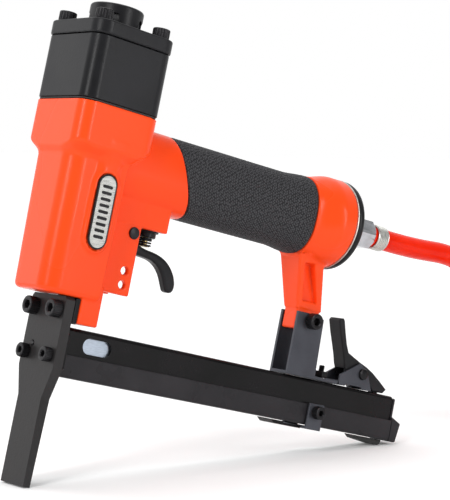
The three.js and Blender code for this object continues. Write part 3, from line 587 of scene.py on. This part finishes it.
def surface_net(name, field, low, high, cell):
    """Skins the zero level of a field, then pulls each vertex onto it and reads its true normal."""
    axes = [np.arange(a - 2 * cell, b + 2.5 * cell, cell) for a, b in zip(low, high)]
    value = field(*np.meshgrid(*axes, indexing="ij"))
    inside = value < 0
    shape = tuple(n - 1 for n in value.shape)
    total, count = np.zeros((np.prod(shape), 3)), np.zeros(np.prod(shape))
    quads = []
    for axis in range(3):
        a = [slice(None)] * 3
        b = [slice(None)] * 3
        a[axis], b[axis] = slice(0, -1), slice(1, None)
        crossing = inside[tuple(a)] != inside[tuple(b)]
        at = np.argwhere(crossing)
        va, vb = value[tuple(a)][crossing], value[tuple(b)][crossing]
        point = at.astype(float)
        point[:, axis] += va / (va - vb)
        p, q = (axis + 1) % 3, (axis + 2) % 3
        corners = []
        for dp, dq in ((0, 0), (-1, 0), (-1, -1), (0, -1)):
            where = at.copy()
            where[:, p] += dp
            where[:, q] += dq
            index = np.ravel_multi_index(where.T, shape)
            corners.append(index)
            for k in range(3):
                total[:, k] += np.bincount(index, point[:, k], minlength=len(count))
            count += np.bincount(index, minlength=len(count))
        quad = np.stack(corners, 1)
        flip = ~inside[tuple(a)][crossing]
        quad[flip] = quad[flip][:, ::-1]
        quads.append(quad)
    used = np.flatnonzero(count)
    number = np.full(len(count), -1)
    number[used] = np.arange(len(used))
    vertices = total[used] / count[used, None] * cell + np.array([a[0] for a in axes])
    for _ in range(4):
        distance, normal = sample(field, vertices)
        vertices -= np.clip(distance, -cell / 2, cell / 2)[:, None] * normal
    _, normal = sample(field, vertices)
    return mesh_of(name, vertices, number[np.concatenate(quads)]), normal


def sample(field, points, step=0.04):
    """Distance and unit normal of a field at points."""
    x, y, z = points.T
    slope = np.stack([
        field(x + step, y, z) - field(x - step, y, z),
        field(x, y + step, z) - field(x, y - step, z),
        field(x, y, z + step) - field(x, y, z - step),
    ], 1) / (2 * step)
    size = np.maximum(np.linalg.norm(slope, axis=1), 1e-6)
    return field(x, y, z) / size, slope / size[:, None]


# ------------------------------------------------------------------ red casting
BARREL_X, BARREL_HALF, BARREL_REAR, BARREL_LOW, BARREL_STEP = 2.5, 17.6, 16.0, 91.3, 157.4
NECK_TOP, NECK_BOTTOM = (47.0, 179.4), (63.0, 140.6)
BADGE_X, BADGE_Z, BADGE_LENGTH, BADGE_WIDTH = 7.3, 133.0, 36.0, 10.6
WEB_HALF, WEB_END, WEB_LOW, BLOCK_LOW, BLOCK_TOP = 10.0, 38.0, 97.3, 131.5, 147.0
TRIGGER_X, TRIGGER_Z, VALVE_X = 33.7, 127.9, 48.0
LEG_OUTLINE = [(137.5, 147), (141.7, 139.5), (148.8, 112.4), (166.3, 112.4), (157, 148)]
POCKET = [(147.2, 135.6), (152.8, 136.4), (160.8, 117.2), (151.6, 117.2)]


def barrel_2d(x, y, z):
    """The barrel's section: wide front corners, tight rear corners, drafted towards the nose."""
    scale = 1 - 0.055 * np.clip((BARREL_STEP - z) / (BARREL_STEP - BARREL_LOW), 0, 1)
    back = x > BARREL_X
    r = np.where(back, 1.4, 9.0)
    half_x = np.where(back, BARREL_REAR, BARREL_HALF) * scale
    du, dv = np.abs(x - BARREL_X) - half_x + r, np.abs(y) - BARREL_HALF * scale + r
    return np.minimum(np.maximum(du, dv), 0) + np.hypot(np.maximum(du, 0), np.maximum(dv, 0)) - r


def oval(y, z, half_y, half_z, power):
    """Distance to an oval section about the handle's axis."""
    u, v = np.abs(y) / half_y + 1e-6, np.abs(z - HANDLE_Z) / half_z + 1e-6
    k = (u ** power + v ** power) ** (1 / power)
    slope = np.hypot((u / k) ** (power - 1) / half_y, (v / k) ** (power - 1) / half_z)
    return (k - 1) / slope


def flare(x):
    """From 0 at the end of the sleeve to 1 at the full width of the handle's end."""
    return smooth_step(np.clip((x - SLEEVE_END) / 15, 0, 1))


def neck_side(x, z):
    """How far a point is behind the slanted front edge of the grip sleeve."""
    run, rise = NECK_BOTTOM[0] - NECK_TOP[0], NECK_TOP[1] - NECK_BOTTOM[1]
    return ((x - NECK_TOP[0]) * rise + (z - NECK_TOP[1]) * run) / math.hypot(run, rise)


def casting(x, y, z):
    section = barrel_2d(x, y, z)
    barrel = raise_2d(section, z - (BARREL_LOW + 166) / 2, (166 - BARREL_LOW) / 2, 2.6)
    square = box_2d(x - HEAD_X, y, HEAD_HALF, HEAD_HALF, HEAD_CORNER)
    under = (BARREL_STEP + 0.85 * section - z) / 1.3
    collar = np.maximum(smooth_max(square, under, 1.2), z - 182)
    body = smooth_min(barrel, collar, 1.6)

    ramp = outline_2d(-y, z, [(10, 120), (16.8, 120), (18.4, 149), (21, 166), (10, 166)])
    body = smooth_min(body, raise_2d(ramp, x - 7.3, 6.0, 3.5), 2.6)
    pad = box_2d(x - BADGE_X, z - BADGE_Z, 7.0, BADGE_LENGTH / 2 + 1.6, 6.9)
    body = smooth_min(body, raise_2d(pad, y + 15, 3.3, 0.5), 2.2)
    seat = box_2d(x - BADGE_X, z - BADGE_Z, BADGE_WIDTH / 2 + 0.4, BADGE_LENGTH / 2 + 0.4, BADGE_WIDTH / 2)
    body = smooth_max(body, -np.maximum(seat, y + 17.9), 0.4)

    neck = np.maximum(oval(y, z, HANDLE_HALF_Y, HANDLE_HALF_Z, 2.5), 10 - x)
    neck = smooth_max(neck, neck_side(x, z), 0.8)
    core = np.maximum(oval(y, z, HANDLE_HALF_Y - 2.2, HANDLE_HALF_Z - 2.2, 2.3), np.abs(x - 90) - 60)
    f = flare(x)
    end = oval(y, z, 17.2 + (HANDLE_RADIUS - 17.2) * f, 21.0 + (HANDLE_RADIUS - 21.0) * f, 2.3 - 0.3 * f)
    middle, half = (SLEEVE_END + 0.3 + HANDLE_END) / 2, (HANDLE_END - SLEEVE_END - 0.3) / 2
    end = smooth_max(end, np.abs(x - middle) - half, 0.8)

    rise = np.clip((z - 112.4) / 28, 0, 1)
    leg_half = 5.6 + 3.0 * rise
    leg = raise_2d(outline_2d(x, z, LEG_OUTLINE), y * 7 / leg_half, 7, 1.2)
    leg = smooth_max(leg, SLEEVE_END - 3.4 - x + np.clip(z - 139.8, 0, 3) * 9, 0.5)
    pocket = np.maximum(outline_2d(x, z, POCKET) - 0.4, 3.5 - np.abs(y))
    leg = smooth_max(leg, -pocket, 0.9)
    leg = smooth_min(leg, bar_field(x, y, z, 149.6, 165, 5.3, 101.6, 114), 0.8)
    end = smooth_min(end, leg, 2.5)

    web = bar_field(x, y, z, 12, WEB_END, WEB_HALF, WEB_LOW, 152, 0.8)
    block = raise_2d(outline_2d(x, z, [
        (14, 151), (14, BLOCK_LOW), (53.7, BLOCK_LOW), (53.7, 142.5), (51.5, BLOCK_TOP), (49, 151),
    ]), y, WEB_HALF, 1.0)
    column = bar_field(x, y, z, 8.3, 20.2, 14.7, 79.2, 99, 0.9)
    body = smooth_min(body, neck, 1.6)
    body = smooth_min(body, smooth_min(web, block, 1.0), 0.7)
    body = smooth_min(body, column, 0.8)
    whole = np.minimum(np.minimum(body, core), end)

    cuts = [
        cylinder_field(x - DRIVE_X, y, z, 14.5, 95, 190),
        cylinder_field(x - DRIVE_X, y, z, 16.8, 176, 190),
        np.maximum(oval(y, z, 9.5, 13.0, 2), np.abs(x - 92) - 78),
        cylinder_field(y, z - HANDLE_Z, x, 19, 155, 170),
        bar_field(x, y, z, 1.1, 3.4, 5.3, 85, 97, 0.3),
        bar_field(x, y, z, 24, 44, 6.8, 90, BLOCK_LOW, 0.6),
        bar_field(x, y, z, 27, 41, 6.8, 120, 133.5, 0.6),
        cylinder_field(x - VALVE_X, y, z, 6.4, 129, 151),
        cylinder_field(x - TRIGGER_X, z - TRIGGER_Z, y, 2.1, -30, 30),
    ]
    cuts += [cylinder_field(x - 32.8, z - at, y, 2.1, -30, 30) for at in (102.4, 109.3)]
    for tool in cuts:
        whole = smooth_max(whole, -tool, 0.5)
    return whole


def add_casting():
    mesh, normals = surface_net("body_shell", casting, (-16, -24, 79), (167, 24, 184), 0.9)
    piece("body_shell", mesh, "housing", "red_enamel", ["body_casting"], normals=normals)


# ------------------------------------------------------------------ head, cover and exhaust deflector
COVER_HALF, COVER_LOW, COVER_TOP, HEAD_LOW, HEAD_TOP = 23.2, 213.9, 220.9, 183.2, 213.6
BOSS_RADIUS, BOSS_LOW, BOSS_TOP = 13.1, 221.2, 232.4
HEAD_SCREW_X, HEAD_SCREW_Y = 17.0, 15.5
HEAD_SCREW_LENGTH = 46


def deflector(x, y, z):
    u, v = x - HEAD_X, y
    boss = cylinder_field(u, v, z, BOSS_RADIUS, BOSS_LOW, BOSS_TOP - 0.1, 1.4)
    boss = smooth_max(boss, -cylinder_field(u, v, z, 8.6, BOSS_LOW + 6.4, BOSS_TOP + 5, 0.4), 0.5)
    for sx in (-1, 1):
        for sy in (-1, 1):
            angle = math.atan2(sy * HEAD_SCREW_Y, sx * HEAD_SCREW_X)
            out = u * math.cos(angle) + v * math.sin(angle)
            across = v * math.cos(angle) - u * math.sin(angle)
            window = box_2d(across, z - BOSS_LOW, 4.6, 6.2, 1.4)
            boss = smooth_max(boss, -np.maximum(window, BOSS_RADIUS - 1.9 - out), 0.35)
    boss = smooth_max(boss, -cylinder_field(v, z - BOSS_LOW - 2.6, u, 2.4, 0, 20), 0.4)
    return boss


def add_head():
    """The cylinder head and its cover as closed blocks, solid inside, with the deflector and screws."""
    outline = rounded_square(HEAD_X, 0, HEAD_HALF, HEAD_HALF, HEAD_CORNER, 12)
    head = piece("head_block", prism("head", outline, HEAD_LOW, HEAD_TOP), "housing", "black_coating",
                 ["cylinder_head"])
    soften(head, 0.45, 2, 40)
    outline = rounded_square(HEAD_X, 0, COVER_HALF, COVER_HALF, HEAD_CORNER + 0.8, 12)
    cover = piece("cover_plate", prism("cover", outline, COVER_LOW, COVER_TOP), "housing", "black_coating",
                  ["exhaust_cover"])
    soften(cover, 0.9, 3, 40)
    mesh, normals = surface_net("deflector", deflector, (-9, -14, 220.5), (20, 14, 233.2), 0.42)
    piece("deflector_ring", mesh, "housing", "black_coating", ["exhaust_deflector"], normals=normals)
    number = 0
    for sx in (-1, 1):
        for sy in (-1, 1):
            number += 1
            at = (HEAD_X + sx * HEAD_SCREW_X, sy * HEAD_SCREW_Y, COVER_TOP + GAP)
            socket_screw("head_screw_%d" % number, M5, HEAD_SCREW_LENGTH, "z", 1, at)


# ------------------------------------------------------------------ nose
NOSE_SCREW_Y, NOSE_SCREW_Z, MAGAZINE_SCREW_Z = 9.95, 84.4, 62.6


def add_nose():
    refine("nose_plate", "housing", "nose_steel", 0.6, segments=3)
    refine("driver_guide", "housing", "screw_steel", 0.3, "magazine_black")
    for name, side in (("left", 1), ("right", -1)):
        y = side * NOSE_SCREW_Y
        socket_screw("nose_screw_" + name, M5, 15, "x", -1, (-GAP, y, NOSE_SCREW_Z))
        socket_screw("magazine_screw_" + name, M4, 7, "x", -1, (-GAP, y, MAGAZINE_SCREW_Z))
    dowel = turned("dowel", [(0.1, 0), (0.85, 0), (1.2, 0.3), (1.2, 4.9), (0.9, 5.2), (0.1, 5.2)], 28)
    dowel.transform(axis_matrix("x", 1, (-0.4, 6.6, 66.8)))
    crisp(piece("nose_dowel_fine", dowel, "housing", "screw_steel", ["nose_dowel"]))


# ------------------------------------------------------------------ magazine
def channel(name, x0, x1, half, inner, back, lip, floor, r, steps=6):
    """A folded sheet channel along x: back is the height of its closed side, lip of its open side."""
    up = 1 if lip > back else -1
    side = [(half, lip)]
    for i in range(steps + 1):
        a = math.pi / 2 * i / steps
        side.append((half - r + r * math.cos(a), back + up * (r - r * math.sin(a))))
    inside = back + up * floor
    section = side + [(-y, z) for y, z in reversed(side)]
    section += [(-inner, lip), (-inner, inside + up * 0.5), (-inner + 0.5, inside)]
    section += [(inner - 0.5, inside), (inner, inside + up * 0.5), (inner, lip)]
    return prism(name, section if up < 0 else section[::-1], x0, x1, "x")


def add_magazine():
    add_cover()
    slide = channel("slide", 8, 229.2, 8.0, 6.8, 53.2, 64.4, 1.4, 1.6)
    soften(piece("magazine_slide_fine", slide, "magazine_slide", "black_coating", ["magazine_slide"],
                 "slide_black"), 0.48, 3, 40)
    refine("magazine_end_block", "magazine_slide", "black_coating", 1.0, "slide_black", segments=3)
    refine("rear_foot", "magazine_slide", "seal_rubber", 0.4)
    refine("slide_leaf", "housing", "black_coating", 0.3, "magazine_black")
    refine("strap", "housing", "blued_steel", 0.45, segments=3)
    socket_screw("strap_screw", M4, 1.5, "y", -1, (171.75, -10.1, 60.6))
    add_staples()


def add_cover():
    """The fixed cover: a folded channel with round upper edges, a pill window and a front flange."""
    cover = channel("cover", 5.6, 228.5, 6.2, 5.0, 77.3, 62.2, 1.5, 1.9)
    cover = piece("magazine_cover_fine", cover, "housing", "black_coating", ["magazine_cover"],
                  "magazine_black")
    window = rounded_square(70.1, 28.5, 3.8, 8.3, 3.79, 12)
    carve(cover, prism("window", window, -12, 12, "y"))
    carve(cover, prism("slot", rounded_square(218.5, 0, 4.0, 2.6, 0.5, 3), 74, 80, "z"))
    soften(cover, 0.22, 2, 40)
    flange = rounded_square(0, 65.3, 13.4, 8.7, 1.0, 4)
    plate = piece("cover_flange", prism("flange", flange, 5.6, 7.2, "x"), "housing", "black_coating", [],
                  "magazine_black")
    carve(plate, prism("opening", rounded_square(0, 63, 4.9, 12.8, 0.4, 2), 0, 12, "x"))
    soften(plate, 0.25, 2, 40)


def carve(obj, tool):
    """Cuts a millimetre tool out of a piece, for good."""
    tool.transform(TOOL)
    cutter = bpy.data.objects.new("cutter", tool)
    bpy.context.scene.collection.objects.link(cutter)
    cut = obj.modifiers.new("cut", "BOOLEAN")
    cut.object = cutter
    cut.operation = "DIFFERENCE"
    cut.solver = "EXACT"
    bpy.context.view_layer.update()
    result = bpy.data.meshes.new_from_object(obj.evaluated_get(bpy.context.evaluated_depsgraph_get()))
    obj.modifiers.clear()
    obj.data = result
    bpy.data.objects.remove(cutter)


def add_staples():
    """A strip of separate fine wire staples, crown up, side by side along the rail."""
    half, wire, low, top, start, end = 4.5, 0.62, 62.5, 74.5, 9.0, 104.0
    pitch = 0.68
    vertices, faces = [], []
    outline = [
        (-half, low), (-half, top - 0.5), (-half + 0.5, top), (half - 0.5, top), (half, top - 0.5),
        (half, low),
        (half - wire, low), (half - wire, top - wire), (-half + wire, top - wire), (-half + wire, low),
    ]
    for i in range(int((end - start) / pitch)):
        x = start + i * pitch
        points, skin = loft([[(w, u, v) for u, v in outline] for w in (x, x + wire)])
        faces += [tuple(k + len(vertices) for k in face) for face in skin]
        vertices += points
    strip = mesh_of("staples", vertices, faces)
    crisp(piece("staple_stick", strip, "magazine_slide", "staple_wire", ["staple_strip"]))


# ------------------------------------------------------------------ support bracket and latch
LATCH_X, LATCH_Z, STUD_X = 203.2, 85.7, 178.6
LEVER = [
    (181, 111.2), (182, 112.6), (184, 112.8), (184.9, 111.8), (187, 106), (189.5, 99.8), (191.9, 95.5),
    (201, 92), (207, 90), (212, 87.8), (218.5, 84), (224.2, 80.3), (222, 78), (214, 78), (210, 81.2),
    (193.5, 82.6), (190.2, 89), (188.6, 93.5), (186.4, 98.5), (183.4, 105),
]
LEVER_POCKET = [
    (192.5, 97), (190.3, 92.5), (193.5, 79), (209, 77), (214.5, 75), (220, 78.5), (211, 85.8), (200.6, 89.9),
]


def lever(x, y, z):
    body = raise_2d(outline_2d(x, z, LEVER), y, 4.7, 0.9)
    pocket = raise_2d(outline_2d(x, z, LEVER_POCKET), y, 3.5, 0.3)
    body = smooth_max(body, -pocket, 0.4)
    dish = np.hypot(x - 192.8, z - 107.5) - 6.6
    body = smooth_max(body, -raise_2d(dish, y, 3.2, 0.8), 0.9)
    tooth = bar_field(x, y, z, 216.8, 220.2, 2, 75.2, 80, 0.3)
    body = np.minimum(body, tooth)
    return smooth_max(body, -cylinder_field(x - LATCH_X, z - LATCH_Z, y, 2, -20, 20), 0.3)


def add_bracket_and_latch():
    refine("support_bracket", "housing", "blued_steel", 0.45, segments=3)
    refine("latch_bracket", "housing", "blued_steel", 0.4, segments=3)
    socket_screw("bracket_screw", M5, 15.5, "y", -1, (158.6, -7.3, 107))
    stud = [(1.2, 77.8), (1.6, 78.2)]
    for i in range(13):
        z = 78.4 + i * 0.56
        stud += [(1.6, z), (1.32, z + 0.28)]
    stud += [(1.6, 85.4), (1.2, 86), (0.1, 86)]
    mesh = turned("stud", stud, 28)
    mesh.transform(Matrix.Translation((STUD_X, 0, 0)))
    crisp(piece("bracket_stud_fine", mesh, "housing", "screw_steel", ["bracket_stud"]), 80)
    nut = [
        (1.95, 79.5), (3.1, 79.5), (3.7, 79.9, hexagon), (3.7, 82.4, hexagon), (3.1, 82.8), (1.95, 82.8),
    ]
    mesh = turned("nut", nut, 36, "wrap")
    mesh.transform(Matrix.Translation((STUD_X, 0, 0)))
    crisp(piece("stud_nut_fine", mesh, "housing", "screw_steel", ["stud_nut"]), 25)

    mesh, normals = surface_net("lever", lever, (180, -5, 74), (225, 5, 113.5), 0.45)
    piece("latch_lever_fine", mesh, "latch", "black_coating", ["latch_lever"], normals=normals)
    headed_pin("latch_pin", 1.7, 3.1, 6.5, 1.3, (LATCH_X, 0, LATCH_Z))
    coil_spring("latch_spring", "z", (197.5, 0), 2.1, 0.4, 80.2, 90.2, 6, "housing")


# ------------------------------------------------------------------ trigger and its valve
TRIGGER_ARM = [
    (31.5, 125), (36, 122), (42, 118.9), (48, 118.3), (53, 117.6), (57.2, 115.6), (60.8, 112), (63.4, 107.4),
    (64.8, 104.9), (66.6, 104.2), (68.6, 104.6), (69.8, 106.2), (69.9, 109.2), (68.4, 113), (65.4, 116.8),
    (61, 119.8), (55, 121.7), (46, 122.9), (41, 125.5), (37.5, 129.5),
]


def round_outline(points, steps=4):
    """A closed smooth curve through the points of an outline."""
    p = np.array(points, float)
    before, after, later = np.roll(p, 1, 0), np.roll(p, -1, 0), np.roll(p, -2, 0)
    curve = []
    for t in np.arange(steps) / steps:
        curve.append(0.5 * (2 * p + (after - before) * t + (2 * before - 5 * p + 4 * after - later) * t ** 2
                            + (3 * p - before - 3 * after + later) * t ** 3))
    return [tuple(q) for q in np.stack(curve, 1).reshape(-1, 2)]


TRIGGER_CURVE = round_outline(TRIGGER_ARM)


def trigger(x, y, z):
    half = 4.0 - 1.3 * np.clip((x - 44) / 22, 0, 1)
    arm = raise_2d(outline_2d(x, z, TRIGGER_CURVE), y * 4 / half, 4.0, 2.2)
    hub = cylinder_field(x - TRIGGER_X, z - TRIGGER_Z, y, 4.1, -4, 4, 0.4)
    arm = smooth_min(arm, hub, 1.2)
    return smooth_max(arm, -cylinder_field(x - TRIGGER_X, z - TRIGGER_Z, y, 2.1, -20, 20, 0.1), 0.2)


def add_trigger():
    mesh, normals = surface_net("trigger_arm", trigger, (29, -4.2, 103), (71, 4.2, 133), 0.42)
    piece("trigger_fine", mesh, "trigger", "black_coating", ["trigger"], normals=normals)
    headed_pin("trigger_pin", 1.8, 3.0, 10.3, 1.0, (TRIGGER_X, 0, TRIGGER_Z))
    coil_spring("trigger_spring", "z", (VALVE_X, 0), 3.2, 0.42, 124.0, 128.1, 4, "housing",
                slot="screw_steel")
    seat = turned("valve_seat", [
        (2.0, 145), (2.0, 128.3), (4.6, 128.3), (5, 128.6), (5, 130.6), (6.1, 131), (6.1, 145),
    ], 40, "wrap")
    seat.transform(Matrix.Translation((VALVE_X, 0, 0)))
    crisp(piece("trigger_valve_seat", seat, "housing", "screw_steel", ["trigger_valve_body"]))
    stem = turned("valve_stem", [
        (0.1, 123.7), (1.8, 123.7), (2.1, 124), (2.1, 124.7), (1.5, 125), (1.5, 141), (0.1, 141),
    ], 28)
    stem.transform(Matrix.Translation((VALVE_X, 0, 0)))
    crisp(piece("trigger_valve_rod", stem, "valve_stem", "valve_brass", ["trigger_valve_stem"]))


# ------------------------------------------------------------------ grip, end cap and air inlet
def grip_outline(x):
    swell = smooth_step(np.clip((x - 122) / 18, 0, 1))
    return HANDLE_HALF_Y + 1.5 * swell, HANDLE_HALF_Z + 1.4 * swell, 2.5 - 0.2 * swell


def pebble_height(u, v, pitch, seed):
    """Height from 0 to 1 of close-packed pebbles on a sheet that repeats every wide pitches in v."""
    rows, wide = int(np.ceil(u.max() / pitch)) + 3, int(round(v.max() / pitch))
    shift = np.random.default_rng(seed).uniform(-0.17, 0.17, (rows + 2, wide, 2))
    a, b = u / pitch, v / v.max() * wide
    best = np.full(u.shape, 9.0)
    for di in (-1, 0, 1, 2):
        for dj in (-1, 0, 1, 2):
            i, j = np.floor(a).astype(int) + di, np.floor(b).astype(int) + dj
            jitter = shift[np.clip(i + 1, 0, rows + 1), j % wide]
            du = a - i - jitter[..., 0]
            dv = b - j - jitter[..., 1] - 0.5 * (i % 2)
            best = np.minimum(best, np.hypot(du, dv))
    return np.sqrt(np.clip(1 - (best / 0.47) ** 2, 0, 1))


def add_grip():
    around, along = 380, 310
    angle = np.linspace(0, 2 * np.pi, around + 1)
    c, s = np.cos(angle), np.sin(angle)
    rows = []
    girth = 2 * np.pi * 17.5
    t_all = np.linspace(0, 1, along)
    u, v = np.meshgrid(t_all * 92, angle / (2 * np.pi) * girth, indexing="ij")
    height = pebble_height(u, v, 1.25, 11)
    for k, t in enumerate(t_all):
        x = 50 + t * (SLEEVE_END - 50)
        half_y, half_z, power = grip_outline(x)
        round_off = 1 / (np.abs(c) ** power + np.abs(s) ** power) ** (1 / power)
        edge = min((SLEEVE_END - x) / 1.2, 1)
        tuck = 0.9 * (1 - math.sqrt(max(1 - (1 - edge) ** 2, 0)))
        y, z = half_y * round_off * c, half_z * round_off * s
        front = NECK_TOP[0] + 0.3 + (NECK_TOP[1] - (HANDLE_Z + z)) * (
            (NECK_BOTTOM[0] - NECK_TOP[0]) / (NECK_TOP[1] - NECK_BOTTOM[1]))
        place_x = front + t * (SLEEVE_END - front)
        near_front = np.clip((place_x - front) / 1.0, 0, 1)
        tuck_front = 0.7 * (1 - np.sqrt(np.clip(1 - (1 - near_front) ** 2, 0, 1)))
        fade = np.clip((place_x - front) / 2.5, 0, 1) * min((SLEEVE_END - x) / 2.0, 1)
        grow = 0.30 * height[k] * fade - 0.3 - tuck - tuck_front
        size = np.hypot(y, z)
        y, z = y * (1 + grow / size), z * (1 + grow / size)
        rows.append(np.stack([place_x, y, HANDLE_Z + z], 1)[:-1])
    inner_front = [rows[0] * 1.0, rows[-1] * 1.0]
    for ring in inner_front:
        y, z = ring[:, 1], ring[:, 2] - HANDLE_Z
        size = np.hypot(y, z)
        ring[:, 1], ring[:, 2] = y * (1 - 1.0 / size), HANDLE_Z + z * (1 - 1.0 / size)
    rings = [inner_front[0]] + rows + [inner_front[1]]
    tops = np.concatenate([np.zeros(around), height[:, :-1].ravel(), np.zeros(around)])
    vertices, faces = loft([list(map(tuple, ring)) for ring in rings], "wrap")
    mesh = mesh_of("grip", vertices, [tuple(reversed(f)) for f in faces])
    # The pebble heights also drive the grip's painted shade in the pits and painted highlight on the tops.
    mesh.attributes.new("pebble", "FLOAT", "POINT").data.foreach_set("value", tops)
    piece("grip_cover", mesh, "housing", "grip_rubber", ["grip_sleeve"])


def add_inlet():
    x = HANDLE_END + GAP
    along = axis_matrix("x", 1, (0, 0, HANDLE_Z))

    def ring(name, profile, slot, node, sides=96, angle=35):
        mesh = turned(name, profile, sides, "wrap")
        mesh.transform(along)
        crisp(piece(name + "_fine", mesh, "housing", slot, [node]), angle)

    r = HANDLE_RADIUS
    ring("cap_seal", [(r - 4, x), (r - 0.2, x), (r + 0.1, x + 0.2), (r + 0.1, x + 0.6), (r - 0.2, x + 0.8),
                      (r - 4, x + 0.8)], "bright_alloy", "end_cap_seal")
    ring("end_cap", [
        (7, x + 1.1), (r - 0.3, x + 1.1), (r, x + 1.4), (r, x + 3.6), (r - 0.25, x + 4.4), (r - 0.9, x + 5.1),
        (r - 1.8, x + 5.5), (r - 3, x + 5.6), (12, x + 5.6), (11.6, x + 5.2), (7, x + 5.2),
    ], "black_coating", "handle_end_cap", 120, 50)
    ring("inlet", [
        (3.6, x + 4), (6.6, x + 4), (8.9, x + 5.9), (8.9, x + 7.7), (6.6, x + 8), (6.3, x + 10.6),
        (7.4, x + 16.9), (8.6, x + 17.7, hexagon), (8.6, x + 28.4, hexagon), (7.4, x + 29.4), (6.2, x + 29.6),
        (3.6, x + 29.6),
    ], "chrome_plate", "inlet_fitting", 96, 22)
    crimp = [(HOSE_RADIUS + 0.3, 195.8), (HOSE_RADIUS + 0.8, 195.8)]
    for i in range(6):
        at = 196.3 + i * 1.2
        crimp += [(HOSE_RADIUS + 1.0, at), (HOSE_RADIUS + 1.0, at + 0.7), (HOSE_RADIUS + 0.7, at + 0.95)]
    crimp += [(HOSE_RADIUS + 0.8, 203.6), (HOSE_RADIUS + 0.3, 203.6)]
    ring("ferrule", crimp, "bright_alloy", "hose_ferrule", 72, 40)


# ------------------------------------------------------------------ badge
def add_badge():
    """A pill-shaped plate: dark rim, brushed face and a plain column of raised bars."""
    def pill(name, grow, near, far, slot, nodes):
        half_x, half_z = BADGE_WIDTH / 2 + grow, BADGE_LENGTH / 2 + grow
        outline = rounded_square(BADGE_Z, BADGE_X, half_z, half_x, half_x - 0.01, 14)
        obj = piece(name, prism(name, outline, near, far, "y"), "housing", slot, nodes)
        soften(obj, 0.12, 2, 40)

    pill("badge_rim", 0, -19.15, -18.25, "black_coating", ["badge_plate"])
    pill("badge_face", -0.75, -19.3, -18.6, "badge_metal", [])
    for i in range(9):
        z = BADGE_Z - 12 + i * 3
        outline = rounded_square(z, BADGE_X, 0.75, 2.9, 0.7, 4)
        bar = piece("badge_bar_%d" % (i + 1), prism("bar", outline, -19.42, -19.1, "y"), "housing",
                    "black_coating")
        soften(bar, 0.08, 1, 40)


# ------------------------------------------------------------------ hose plug and tie
def add_plug():
    start = HANK_X + 1
    profile = [(2.6, -42), (3.9, -42), (4.6, -41.2), (4.6, -38.4), (5.8, -37.8), (5.8, -33.2), (4.6, -32.6)]
    profile += [(4.6, -22.2), (5.6, -21.6), (6.3, -21, hexagon), (6.3, -14.2, hexagon), (5.8, -13.8)]
    for i in range(5):
        at = -13.4 + i * 2.5
        profile += [(6.25, at), (6.25, at + 1.8), (5.95, at + 2.1)]
    profile += [(6.25, -0.3), (5.9, 0), (2.6, 0)]
    mesh = turned("plug", profile, 72, "wrap")
    mesh.transform(axis_matrix("x", 1, (start, -2 * HANK_FOLD, 6.4)))
    crisp(piece("hose_plug_fine", mesh, "housing", "valve_brass", ["hose_plug"], place=OUTER), 30)
    refine("hose_tie", "housing", "seal_rubber", 0.4)


# ------------------------------------------------------------------ springs out of sight
def add_inner_springs():
    coil_spring("head_valve_spring", "z", (DRIVE_X + 1, 0), 13.2, 0.8, 199.3, 206.7, 3, "housing")
    coil_spring("pusher_spring", "x", (0, 64), 1.7, 0.35, 116.3, 228, 30, "magazine_slide")


# ------------------------------------------------------------------ the model
add_camera()
add_studio()
add_plug()
add_hose()
add_casting()
add_head()
add_nose()
add_magazine()
add_bracket_and_latch()
add_trigger()
add_grip()
add_inlet()
add_badge()
add_inner_springs()

# ------------------------------------------------------------------ CAD nodes that stay, dressed
for record in frame["record"]["subparts"]:
    node = bpy.data.objects.get(record["node"])
    if node is not None:
        node.data.materials.clear()
        node.data.materials.append(M[record["material_slot"]])
